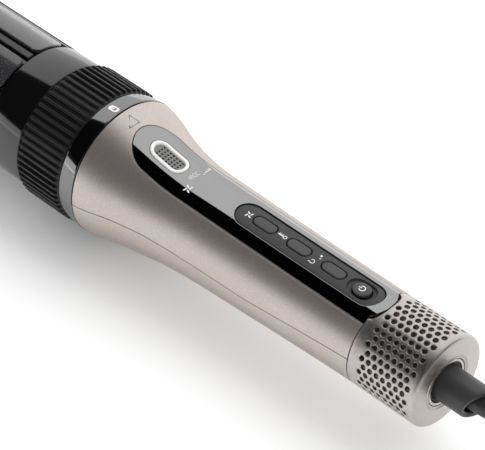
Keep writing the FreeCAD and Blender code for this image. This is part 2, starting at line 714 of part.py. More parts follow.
# ---------------------------------------------------------------- rear end
def make_rear():
    cap_plain = new_body("cap_plain")
    front = cell("cap_front_at")
    rear = cell("cap_rear_at")
    radius = cell("cap_radius")
    bore = cell("cap_radius") - cell("cap_wall")
    corner, corner_middle = 1.6, 0.5
    turned(cap_plain, [
        (front, bore), (front, radius), (rear - corner, radius),
        (rear - corner_middle, radius - corner_middle), (rear, radius - corner),
        (rear, "cap_hole"), (rear - cell("cap_floor"), "cap_hole"), (rear - cell("cap_floor"), bore),
    ])
    notch = new_sketch(cap_plain)
    half = cell("tongue_half") + 0.4
    tip = cell("tongue_end_at") + 0.5
    polygon(notch, [
        (front - 2.0, -half), (front + 0.6, -half), (tip, half * -0.45), (tip, half * 0.45),
        (front + 0.6, half), (front - 2.0, half),
    ])
    pocketed(cap_plain, notch, both=False, reverse=True)
    drills = []
    drill_start = 15.0
    drill_long = SIZES["cap_radius"] + 2.0 - drill_start
    columns = 40
    for step in range(columns):
        angle = math.radians(360.0 / columns * (step + 0.5))
        count = 8 if step % 2 == 0 else 7
        start = SIZES["vent_first_at"] + (step % 2) * SIZES["vent_pitch"] / 2
        for i in range(count):
            at = start + i * SIZES["vent_pitch"]
            way = V(0, math.sin(angle), math.cos(angle))
            base = V(at, 0, 0) + way * drill_start
            drills.append(Part.makeCylinder(SIZES["vent_radius"], drill_long, base, way))
    drill_set = doc.addObject("Part::Feature", "vent_drills")
    drill_set.Shape = Part.makeCompound(drills)
    cut_from("cap_cut", cap_plain, drill_set, "rear_filter_cap")

    mesh = new_body("mesh_body")
    back = cell("cap_rear_at") - cell("cap_floor")
    mesh_front, mesh_bore, mesh_radius = 141.8, 17.5, 17.9
    turned(mesh, [(mesh_front, mesh_bore), (mesh_front, mesh_radius), (back, mesh_radius), (back, mesh_bore)])
    place(mesh, "filter_mesh")

    carrier = new_body("carrier")
    seat_front, seat_rear, seat_bore, seat_radius = 136.0, 141.0, 14.4, 17.0
    turned(carrier, [
        (seat_front, seat_bore), (seat_front, seat_radius), (seat_rear, seat_radius), (seat_rear, seat_bore),
    ])
    strut_front, strut_rear, strut_half, strut_low, strut_high = 140.0, 166.5, 2.0, 14.6, 16.6
    strut = new_sketch(carrier)
    polygon(strut, [
        (strut_front, -strut_half), (strut_rear, -strut_half), (strut_rear, strut_half),
        (strut_front, strut_half),
    ])
    around(carrier, padded(carrier, strut, strut_low, strut_high), 4)
    disc_front, disc_bore = 164.5, 9.9
    turned(carrier, [
        (disc_front, disc_bore), (disc_front, strut_high), (strut_rear, strut_high), (strut_rear, disc_bore),
    ])
    hub_front, hub_rear, hub_bore, hub_radius = 165.0, 169.4, 9.05, 10.1
    turned(carrier, [
        (hub_front, hub_bore), (hub_front, hub_radius), (hub_rear, hub_radius), (hub_rear, hub_bore),
    ])
    place(carrier, "filter_carrier")

    bush = new_body("bush_body")
    bush_front, bush_rear, bush_radius = 152.0, 169.0, 9.0
    groove_front, groove_rear, groove_radius = 157.0, 160.0, 8.3
    running = cell("sleeve_radius") + 0.05
    turned(bush, [
        (bush_front, running), (bush_front, bush_radius), (bush_rear, bush_radius), (bush_rear, running),
        (groove_rear, running), (groove_rear, groove_radius), (groove_front, groove_radius),
        (groove_front, running),
    ])
    place(bush, "swivel_bush")


def make_sleeve():
    """The cord swivel: a journal with a retaining bead, and a mouth cut off at a slant."""
    sleeve = new_body("sleeve_body")
    bead_front, bead_rear, bead_radius = 157.4, 159.6, 8.1
    turned(sleeve, [
        ("sleeve_inner_at", "sleeve_bore"), ("sleeve_inner_at", "sleeve_radius"),
        (bead_front, "sleeve_radius"), (bead_front, bead_radius), (bead_rear, bead_radius),
        (bead_rear, "sleeve_radius"), ("sleeve_long_at", "sleeve_radius"),
        ("sleeve_long_at", "sleeve_bore"),
    ])
    slant = new_sketch(sleeve, "XZ_Plane")
    radius = cell("sleeve_radius") + 0.01
    clear_at, clear_low = 200.0, -12.0
    polygon(slant, [
        ("sleeve_long_at", radius), ("sleeve_short_at", -radius), ("sleeve_short_at", clear_low),
        (clear_at, clear_low), (clear_at, radius),
    ])
    pocketed(sleeve, slant)
    place(sleeve, "cord_swivel_sleeve", turn=-60.0)


# ---------------------------------------------------------------- head
def make_head():
    barrel_plain = new_body("barrel_plain")
    seat = cell("socket_outer") + 0.2
    turned(barrel_plain, [
        ("cap_seam_at", "barrel_bore"), ("cap_seam_at", "barrel_core"), ("neck_front_at", "barrel_core"),
        ("neck_front_at", "neck_radius"), ("neck_rear_at", "neck_radius"), ("neck_rear_at", seat),
        ("socket_front_at", seat), ("socket_front_at", "barrel_bore"),
    ])
    slots = []
    slot_count, slot_pitch, slot_first, slot_angle = 11, 10.4, -170.0, 4.8
    slot_long, slot_wide, slot_deep, slot_low = 6.0, 1.2, 4.0, 24.5
    for land in range(LANDS):
        for side in (-1, 1):
            angle = math.radians(LAND_ANGLE + TURN * land + side * slot_angle)
            for i in range(slot_count):
                at = slot_first + i * slot_pitch
                slot = Part.makeBox(slot_long, slot_wide, slot_deep, V(at, -slot_wide / 2, slot_low))
                slot.rotate(V(0, 0, 0), V(1, 0, 0), -math.degrees(angle))
                slots.append(slot)
    slot_set = doc.addObject("Part::Feature", "air_slots")
    slot_set.Shape = Part.makeCompound(slots)
    cut_from("barrel_cut", barrel_plain, slot_set, "head_barrel")

    socket = new_body("socket_body")
    turned(socket, [
        ("socket_front_at", "socket_bore"), ("socket_front_at", "socket_outer"),
        ("socket_rear_at", "socket_outer"), ("socket_rear_at", "socket_bore"),
    ])
    place(socket, "head_socket_ring")

    cap = new_body("end_cap_body")
    tip = cell("tip_at")
    seam = cell("cap_seam_at")
    cap_bore, cap_spigot, cap_floor = 23.4, 6.0, 2.0
    turned(cap, [
        (seam + cap_spigot, cap_bore), (seam + cap_spigot, cell("barrel_bore") - 0.05),
        (seam, cell("barrel_bore") - 0.05), (seam, "neck_radius"), (tip + 3.0, "neck_radius"),
        (tip + 0.9, 27.8), (tip, 25.6), (tip, 0.0), (tip + cap_floor, 0.0), (tip + cap_floor, cap_bore),
    ])
    place(cap, "head_end_cap")

    baffle = new_body("baffle_body")
    baffle_front, baffle_rim, baffle_nose, baffle_radius, nose_radius = -176.0, -174.5, -150.0, 21.0, 2.0
    turned(baffle, [
        (baffle_front, 0.0), (baffle_front, baffle_radius), (baffle_rim, baffle_radius),
        (baffle_nose, nose_radius), (baffle_nose, 0.0),
    ])
    spoke_rear, spoke_half, spoke_foot, spoke_tip = -174.0, 1.0, 18.0, 23.2
    spoke = new_sketch(baffle)
    polygon(spoke, [
        (baffle_front, -spoke_half), (spoke_rear, -spoke_half), (spoke_rear, spoke_half),
        (baffle_front, spoke_half),
    ])
    around(baffle, padded(baffle, spoke, spoke_foot, spoke_tip), 4)
    place(baffle, "air_baffle")

    edge = 0.5
    for number in range(LANDS):
        plate = new_body(f"plate_body{number}")
        inner = cell("barrel_core") + 0.05
        front = cell("plate_front_at")
        back = cell("plate_rear_at")
        outer = cell("plate_radius")
        turned(plate, [(front, inner), (front, outer - edge), (front + edge, outer), (back - edge, outer),
                       (back, outer - edge), (back, inner)], "plate_width")
        middle = LAND_ANGLE + TURN / 2 + TURN * number
        place(plate, f"heat_plate_{number + 1}", turn=90.0 - middle)

        strip = new_body(f"strip_body{number}")
        turned(strip, [(front, inner), (front, "land_radius"), (back, "land_radius"), (back, inner)],
               "land_width")
        first = cell("bristle_first_at")
        pin = new_sketch(strip, "XY_Plane", V(first.value, 0, 0))
        pin.setExpression("AttachmentOffset.Base.x", first.text)
        thin = cell("bristle_radius")
        tip_radius = cell("bristle_tip")
        foot = cell("land_radius") - 0.7
        bead = thin + 0.2
        polygon(pin, [
            (0.0, foot), (thin + 0.15, foot), (thin - 0.05, tip_radius - 1.4), (bead, tip_radius - 1.0),
            (bead, tip_radius - 0.4), (BRISTLE_END, tip_radius), (0.0, tip_radius),
        ])
        bristle = strip.newObject("PartDesign::Revolution", strip.Name + "_bristle")
        bristle.Profile = pin
        bristle.ReferenceAxis = (pin, ["V_Axis"])
        bristle.Angle = 360.0
        along(strip, [bristle], "bristle_run", 18)
        place(strip, f"bristle_strip_{number + 1}", turn=90.0 - LAND_ANGLE - TURN * number)


# ---------------------------------------------------------------- cord, coil and plug, in the row frame
def keep(item, label):
    item.Label = label
    OUTPUT.append(item)
    return item


RELIEF_ROUTE = [
    V(157.0, 0.0, axis_height), V(188.0, 0.0, axis_height), V(201.0, 4.6, axis_height - 0.5),
    V(211.0, 13.4, axis_height - 2.0),
]
LEAD_ROUTE = [
    RELIEF_ROUTE[-1], V(221.8, 22.8, 28.5), V(234.0, 30.0, 20.8), V(248.0, 34.6, 12.0),
    V(263.0, 38.2, 4.2), V(279.0, 46.0, 3.0),
]
COIL_CENTRE = V(302.4, 14.8, 0.0)
PLUG_ROUTE = [
    V(282.6, 41.2, 27.0), V(293.5, 46.0, 27.0), V(305.4, 46.4, 28.6), V(316.8, 42.6, 32.0),
    V(325.6, 34.4, 36.4), V(330.6, 24.0, 41.0), V(331.9, 12.1, 43.0),
]
PLUG_PLACE = PLUG_ROUTE[-1] - V(0, SIZES["plug_tail"], 0)


def tube(name, route, radius, label):
    """A round cord along straight runs joined by tangent arcs, each as large as its runs allow."""
    edges = []
    start = route[0]
    for before, corner, after in zip(route, route[1:], route[2:]):
        come = (corner - before).normalize()
        go = (after - corner).normalize()
        half_turn = come.getAngle(go) / 2
        reach = 0.45 * min((corner - before).Length, (after - corner).Length)
        bend = reach / math.tan(half_turn)
        enter = corner - come * reach
        leave = corner + go * reach
        inward = (go - come).normalize()
        centre = corner + inward * (bend / math.cos(half_turn))
        middle = centre - inward * bend
        edges.append(Part.LineSegment(start, enter).toShape())
        edges.append(Part.Arc(enter, middle, leave).toShape())
        print(f"{label}: arc radius {bend:.1f}, turn {math.degrees(2 * half_turn):.1f}")
        start = leave
    edges.append(Part.LineSegment(start, route[-1]).toShape())
    path = Part.Wire(edges)
    length = path.Length
    way = (route[1] - route[0]).normalize()
    section = Part.Face(Part.Wire(Part.Circle(route[0], way, radius).toShape()))
    item = doc.addObject("Part::Feature", name)
    item.Shape = path.makePipe(section)
    wanted = math.pi * radius ** 2 * length
    print(f"{label}: length {length:.1f}, volume {item.Shape.Volume:.1f} against {wanted:.1f}")
    return keep(item, label)


def make_cord():
    tube("relief_tube", RELIEF_ROUTE, SIZES["relief_radius"], "strain_relief")
    tube("lead_tube", LEAD_ROUTE, SIZES["cord_radius"], "power_cord")
    tube("plug_tube", PLUG_ROUTE, SIZES["cord_radius"], "plug_lead")
    coil = new_body("coil_body")
    sketch = new_sketch(coil, "XZ_Plane")
    width = cell("cord_radius") * 2
    inner = cell("coil_mean") - width
    outer = cell("coil_mean") + width
    top = width * cell("coil_layers")
    bevel = 1.0
    polygon(sketch, [
        (inner, bevel), (inner + bevel, 0.0), (outer - bevel, 0.0), (outer, bevel),
        (outer, top - bevel), (outer - bevel, top), (inner + bevel, top), (inner, top - bevel),
    ])
    ring = coil.newObject("PartDesign::Revolution", "coil_ring")
    ring.Profile = sketch
    ring.ReferenceAxis = (sketch, ["V_Axis"])
    ring.Angle = 360.0
    coil.Placement = FreeCAD.Placement(COIL_CENTRE, FreeCAD.Rotation())
    keep(coil, "cord_coil")


def make_plug():
    """A flat two-pin plug lying on its side, its pins pointing along -Y."""
    plug = new_body("plug_form")
    long, tail_long, rim_long = SIZES["plug_long"], SIZES["plug_tail"], 8.0
    face = new_sketch(plug, "XZ_Plane", V(0, 0, long))
    middle = new_sketch(plug, "XZ_Plane", V(0, 0, long - rim_long))
    neck = new_sketch(plug, "XZ_Plane")
    half = cell("plug_half_thickness")
    reach = cell("plug_width") / 2
    neck_reach, neck_half, tail_radius, overlap = 9.0, 7.0, 4.4, 2.0
    stadium(face, -reach, reach, half)
    stadium(middle, -reach, reach, half)
    stadium(neck, fixed(-neck_reach), fixed(neck_reach), fixed(neck_half))
    loft = plug.newObject("PartDesign::AdditiveLoft", "plug_loft")
    loft.Profile = face
    loft.Sections = [middle, neck]
    loft.Ruled = True
    tail = new_sketch(plug, "XZ_Plane", V(0, 0, -tail_long))
    circle(tail, 0.0, 0.0, tail_radius)
    pad = plug.newObject("PartDesign::Pad", "plug_tail")
    pad.Profile = tail
    bind(pad, "Length", cell("plug_tail") + overlap)
    plug.Placement = FreeCAD.Placement(PLUG_PLACE, FreeCAD.Rotation())
    keep(plug, "plug_body")

    pins = []
    tip_long, tip_taper = 1.0, 0.9
    face_y = PLUG_PLACE.y - long
    for side in (-1, 1):
        x = PLUG_PLACE.x + side * SIZES["pin_spacing"] / 2
        pin = doc.addObject("Part::Cylinder", f"pin_{'low' if side < 0 else 'high'}")
        bind(pin, "Radius", "pin_radius")
        bind(pin, "Height", cell("pin_length") - tip_long)
        down = FreeCAD.Rotation(V(0, 0, 1), V(0, -1, 0))
        pin.Placement = FreeCAD.Placement(V(x, face_y, PLUG_PLACE.z), down)
        tip = doc.addObject("Part::Cone", pin.Name + "_tip")
        bind(tip, "Radius1", "pin_radius")
        bind(tip, "Radius2", cell("pin_radius") - tip_taper)
        tip.Height = tip_long
        tip.Placement = FreeCAD.Placement(V(x, face_y - SIZES["pin_length"] + tip_long, PLUG_PLACE.z), down)
        both = doc.addObject("Part::MultiFuse", pin.Name + "_whole")
        both.Shapes = [pin, tip]
        pins.append(both)
    pair = doc.addObject("Part::Compound", "pin_pair")
    pair.Links = pins
    keep(pair, "plug_pins")


make_handle_shells()
make_panel()
make_buttons()
make_ion_outlet()
make_electrics()
make_collar()
make_spigot()
make_heater()
make_air_path()
make_rear()
make_sleeve()
make_head()
make_cord()
make_plug()
doc.recompute()

faults = [f"{item.Label}: {item.State}" for item in doc.Objects if {"Invalid", "Error"} & set(item.State)]
faults += [item.Label for item in OUTPUT if item.Shape.isNull() or not item.Shape.isValid()]
if faults:
    raise SystemExit("these did not build: " + ", ".join(faults))
for item in OUTPUT:
    item.Shape.exportStep(f"parts/{item.Label}.step")
print(f"{len(OUTPUT)} pieces written")
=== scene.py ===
"""Hot air brush: the visible pieces, their materials, the floor, the light and the camera.

Shapes are worked out in millimetres along the tool: a station counts along its axis from the plane
where the locking collar meets the handle, towards the cord, and an angle turns about that axis from
straight up towards +Y.  Meshes and lights are made in metres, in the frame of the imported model.
"""
import bmesh
import bpy
import math
import numpy as np
from mathutils import Matrix, Vector
from mathutils.geometry import delaunay_2d_cdt


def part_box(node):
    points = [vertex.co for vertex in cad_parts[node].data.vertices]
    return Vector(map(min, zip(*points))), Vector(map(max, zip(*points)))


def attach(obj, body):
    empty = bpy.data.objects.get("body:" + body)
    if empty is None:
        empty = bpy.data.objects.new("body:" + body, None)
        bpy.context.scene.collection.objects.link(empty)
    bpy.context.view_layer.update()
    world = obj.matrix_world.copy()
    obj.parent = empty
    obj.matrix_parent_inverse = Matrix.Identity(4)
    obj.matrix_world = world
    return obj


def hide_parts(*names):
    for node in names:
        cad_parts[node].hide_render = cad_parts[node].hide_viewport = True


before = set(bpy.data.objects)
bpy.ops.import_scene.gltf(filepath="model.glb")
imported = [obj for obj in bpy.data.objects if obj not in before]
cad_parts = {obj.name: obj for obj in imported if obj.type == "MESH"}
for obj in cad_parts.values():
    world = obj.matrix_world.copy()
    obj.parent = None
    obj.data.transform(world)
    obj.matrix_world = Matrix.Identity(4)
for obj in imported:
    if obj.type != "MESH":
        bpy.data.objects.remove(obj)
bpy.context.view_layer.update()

MM = 0.001
FULL = 2 * math.pi
QUARTER = math.pi / 2
HANDLE_FACE = -1.4      # station of the handle's front face
HANDLE_REAR = 137.2     # station of its rear edge, where the filter cap starts
cap_low, cap_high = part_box("head_end_cap")
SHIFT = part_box("handle_lower_shell")[0].x / MM - HANDLE_FACE
AXIS = (cap_low.z + cap_high.z) / 2 / MM


def span(node):
    """The first and last station of a CAD node."""
    low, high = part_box(node)
    return low.x / MM - SHIFT, high.x / MM - SHIFT


def placed(name, data):
    """A new object in the scene."""
    made = bpy.data.objects.new(name, data)
    bpy.context.scene.collection.objects.link(made)
    return made


# ---- materials
FINISHES = {}


class Nodes:
    """A new material in FINISHES, with short calls for the few nodes used here."""

    def __init__(self, name):
        self.material = bpy.data.materials.new(name)
        FINISHES[name] = self.material
        self.material.use_nodes = True
        self.tree = self.material.node_tree
        self.shader = self.tree.nodes["Principled BSDF"]
        coordinates = self.tree.nodes.new("ShaderNodeTexCoord")
        self.place = coordinates.outputs["Object"]

    def feed(self, socket, value):
        """Sets a socket: a node's output is linked to it."""
        if isinstance(value, bpy.types.NodeSocket):
            self.tree.links.new(value, socket)
        else:
            socket.default_value = value

    def node(self, kind, inputs=(), **settings):
        """A node with its settings and inputs: an input is a value or another node's output."""
        made = self.tree.nodes.new("ShaderNode" + kind)
        for key, value in settings.items():
            setattr(made, key, value)
        for key, value in dict(inputs).items():
            self.feed(made.inputs[key], value)
        return made

    def noise(self, size, detail=3.0, stretch=None):
        """Noise whose grains are about size millimetres, longer by the factors in stretch."""
        place = self.place
        if stretch:
            scale = tuple(1 / s for s in stretch)
            place = self.node("Mapping", {"Vector": place, "Scale": scale}).outputs["Vector"]
        made = self.node("TexNoise", {"Vector": place, "Scale": 1 / (size * MM), "Detail": detail})
        return made.outputs["Fac"]

    def cells(self, size, channel):
        """One random value for each cell, about size millimetres across."""
        made = self.node("TexVoronoi", {"Vector": self.place, "Scale": 1 / (size * MM)})
        return self.node("SeparateColor", {"Color": made.outputs["Color"]}).outputs[channel]

    def between(self, value, low, high, start=0.3, end=0.7):
        """Maps a value's range from start to end onto low to high."""
        made = self.node("MapRange", {
            "Value": value, "From Min": start, "From Max": end, "To Min": low, "To Max": high})
        return made.outputs["Result"]

    def mix(self, share, first, second):
        """A colour between two others."""
        factor_in, first_in, second_in, colour_out = 0, 6, 7, 2
        made = self.node("Mix", {factor_in: share, first_in: first, second_in: second}, data_type="RGBA")
        return made.outputs[colour_out]

    def set(self, **values):
        """Sets the shader's inputs: numbers on the socket, node outputs by a link."""
        for key, value in values.items():
            self.feed(self.shader.inputs[key.replace("_", " ")], value)

    def bump(self, height, depth):
        """Bump of about depth millimetres."""
        made = self.node("Bump", {"Height": height, "Distance": depth * MM, "Strength": 1.0})
        self.set(Normal=made.outputs["Normal"])


def shade(colour, factor=1.0):
    """A colour with alpha, made lighter or darker by factor."""
    return (*(min(1.0, c * factor) for c in colour), 1.0)


def plastic(name, colour, rough, grain=0.35, depth=0.006, vary=0.12, **more):
    """Moulded plastic: fine grain, slow changes of colour and gloss."""
    n = Nodes(name)
    slow = n.noise(14.0, 2.0)
    fine = n.noise(grain, 3.0)
    n.set(
        Base_Color=n.mix(slow, shade(colour, 1 - vary), shade(colour, 1 + vary)),
        Roughness=n.between(n.noise(3.0), rough * 0.85, min(1.0, rough * 1.2)),
        **more)
    n.bump(fine, depth)


def taupe_paint():
    """Satin metallic lacquer with bright flakes."""
    n = Nodes("taupe_paint")
    colour = (0.54, 0.487, 0.457)
    spark = n.cells(0.2, "Red")
    lit = n.between(spark, 0.0, 0.6, 0.86, 1.0)
    dusk = n.between(spark, 0.16, 0.0, 0.0, 0.2)
    base = n.mix(n.noise(22.0, 2.0), shade(colour, 0.96), shade(colour, 1.04))
    base = n.mix(dusk, base, shade(colour, 0.6))
    n.set(
        Base_Color=n.mix(lit, base, shade(colour, 1.7)),
        Metallic=0.88,
        Specular_Tint=shade((0.7, 0.66, 0.63)),
        Roughness=n.between(n.noise(0.5), 0.38, 0.48))
    n.bump(n.noise(0.22, 2.0), 0.007)


def satin_metal(name, colour, rough, brush=(1.0, 1.0, 1.0), **more):
    """Plated metal with a fine satin grain."""
    n = Nodes(name)
    n.set(
        Base_Color=n.mix(n.noise(9.0), shade(colour, 0.93), shade(colour, 1.05)),
        Metallic=1.0,
        Roughness=n.between(n.noise(0.9, 4.0, brush), rough * 0.8, rough * 1.25),
        **more)
    n.bump(n.noise(0.16, 3.0, brush), 0.004)


def ceramic_plate():
    """Dark glossy ceramic coating with fine mineral specks."""
    n = Nodes("plate_ceramic")
    speck = n.between(n.cells(0.3, "Green"), 0.0, 0.7, 0.9, 1.0)
    n.set(
        Base_Color=n.mix(speck, shade((0.022, 0.022, 0.024)), shade((0.12, 0.12, 0.13))),
        Roughness=n.between(n.noise(5.0), 0.13, 0.22),
        Specular_IOR_Level=0.75,
        Coat_Weight=0.5,
        Coat_Roughness=0.06)
    n.bump(n.noise(1.6, 3.0), 0.01)


def woven_steel():
    """Fine wire cloth: two crossed sets of wires."""
    n = Nodes("filter_steel")
    mesh = {"Vector": n.place, "Scale": 1 / (1.3 * MM)}
    wires = [n.node("TexWave", mesh, bands_direction=way).outputs["Fac"] for way in ("X", "Y")]
    weave = n.node("Math", {0: wires[0], 1: wires[1]}, operation="MAXIMUM").outputs["Value"]
    n.set(
        Base_Color=n.mix(weave, shade((0.02, 0.02, 0.02)), shade((0.3, 0.29, 0.28))),
        Metallic=0.8, Roughness=n.between(n.noise(2.0), 0.35, 0.5))
    n.bump(weave, 0.05)


def cord_jacket():
    """Slightly rubbery PVC sleeve of the lead."""
    n = Nodes("cord_black")
    n.set(
        Base_Color=n.mix(n.noise(20.0), shade((0.016, 0.016, 0.017)), shade((0.026, 0.026, 0.027))),
        Roughness=n.between(n.noise(1.4, 4.0), 0.38, 0.55))
    n.bump(n.noise(0.5, 3.0), 0.02)


taupe_paint()
plastic("panel_gloss", (0.001, 0.001, 0.0014), 0.04, 6.0, 0.002, IOR=3.5)
plastic("band_gloss", (0.002, 0.002, 0.002), 0.08, 5.0, 0.006, IOR=2.6)
plastic("rib_black", (0.007, 0.007, 0.007), 0.4, 0.3, 0.01, Specular_IOR_Level=0.35)
plastic("bar_grey", (0.036, 0.036, 0.037), 0.5, 0.25, 0.006, Specular_IOR_Level=0.3)
plastic("button_grey", (0.055, 0.055, 0.056), 0.5, 0.25, 0.005, Specular_IOR_Level=0.25)
plastic("outlet_white", (0.64, 0.625, 0.615), 0.3, 0.5, 0.003, 0.02)
plastic("grille_grey", (0.14, 0.14, 0.14), 0.4, 0.4, 0.004)
satin_metal("cap_nickel", (0.54, 0.505, 0.48), 0.44)
woven_steel()
plastic("barrel_black", (0.003, 0.003, 0.003), 0.1, 7.0, 0.01, IOR=1.7)
ceramic_plate()
plastic("bristle_nylon", (0.02, 0.02, 0.021), 0.35, 0.4, 0.004)
plastic("inner_plastic", (0.05, 0.05, 0.052), 0.5, 0.5, 0.01)
plastic("heat_plastic", (0.11, 0.1, 0.09), 0.55, 0.6, 0.012)
plastic("mica", (0.5, 0.42, 0.3), 0.3, 2.5, 0.03, 0.25, Sheen_Weight=0.2)
satin_metal("heater_wire", (0.4, 0.35, 0.3), 0.4)
satin_metal("steel", (0.6, 0.6, 0.6), 0.28, (8.0, 1.0, 1.0))
plastic("board_green", (0.02, 0.11, 0.045), 0.35, 1.2, 0.02, 0.3)
plastic("soft_rubber", (0.02, 0.02, 0.02), 0.75, 0.4, 0.015)
cord_jacket()
plastic("plug_black", (0.03, 0.03, 0.031), 0.42, 0.7, 0.012)
satin_metal("pin_nickel", (0.72, 0.71, 0.69), 0.18, (1.0, 8.0, 1.0))
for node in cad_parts.values():
    for place in node.material_slots:
        place.material = FINISHES[place.material.name.split(".")[0]]


# ---- the tool's surfaces
HANDLE_SECTIONS = [
    # station, radius, drop of the centre
    (HANDLE_FACE, 30.1, 0.0), (5.0, 28.9, 0.6), (12.0, 26.8, 1.4), (22.0, 24.6, 2.4), (32.0, 23.0, 2.5),
    (45.0, 22.0, 1.9), (70.0, 21.2, 1.2), (100.0, 20.45, 0.6), (HANDLE_REAR, 19.85, 0.0), (150.0, 19.85, 0.0),
]


def spline(points, values):
    """The natural cubic spline through points, as a function."""
    x = np.array(points, float)
    y = np.array(values, float)
    gap = np.diff(x)
    slope = np.diff(y) / gap
    size = len(x)
    left = np.eye(size)
    right = np.zeros(size)
    for i in range(1, size - 1):
        left[i, i - 1:i + 2] = gap[i - 1], 2 * (gap[i - 1] + gap[i]), gap[i]
        right[i] = 6 * (slope[i] - slope[i - 1])
    curve = np.linalg.solve(left, right)

    def at(t):
        t = np.asarray(t, float)
        i = np.clip(np.searchsorted(x, t) - 1, 0, size - 2)
        a = x[i + 1] - t
        b = t - x[i]
        from_left = (y[i] / gap[i] - curve[i] * gap[i] / 6) * a
        from_right = (y[i + 1] / gap[i] - curve[i + 1] * gap[i] / 6) * b
        return from_left + from_right + (curve[i] * a ** 3 + curve[i + 1] * b ** 3) / (6 * gap[i])
    return at


stations, radii, drops = zip(*HANDLE_SECTIONS)
handle_radius = spline(stations, radii)
handle_drop = spline(stations, drops)


def on_axis(s, angle, radius, drop=0.0):
    """Points round the tool's axis, in metres."""
    s, angle, radius, drop = np.broadcast_arrays(s, angle, radius, drop)
    return np.stack([s + SHIFT, radius * np.sin(angle), AXIS + radius * np.cos(angle) - drop], -1) * MM


def on_handle(s, angle, depth):
    """Points at a depth below the handle's outer surface."""
    return on_axis(s, angle, handle_radius(s) - depth, handle_drop(s))


def on_round(radius):
    """A cylinder's surface about the tool's axis."""
    return lambda s, angle, depth: on_axis(s, angle, radius - depth)


def seam_angle(s):
    """Where the two handle shells meet, on the +Y side."""
    height = np.interp(s, (-11.4, 86.0, 147.2), (-0.6, -0.3, 4.4))
    return np.arccos((height + handle_drop(s)) / handle_radius(s))


# ---- mesh builders
REF = 20.0      # radius at which angles count as millimetres in flat outlines


def facing(surface, s, angle, depth):
    """The outward normals of a surface."""
    small = 0.01
    along = surface(s + small, angle, depth) - surface(s - small, angle, depth)
    across = surface(s, angle + small, depth) - surface(s, angle - small, depth)
    out = np.cross(along, across)
    return out / np.linalg.norm(out, axis=1)[:, None]


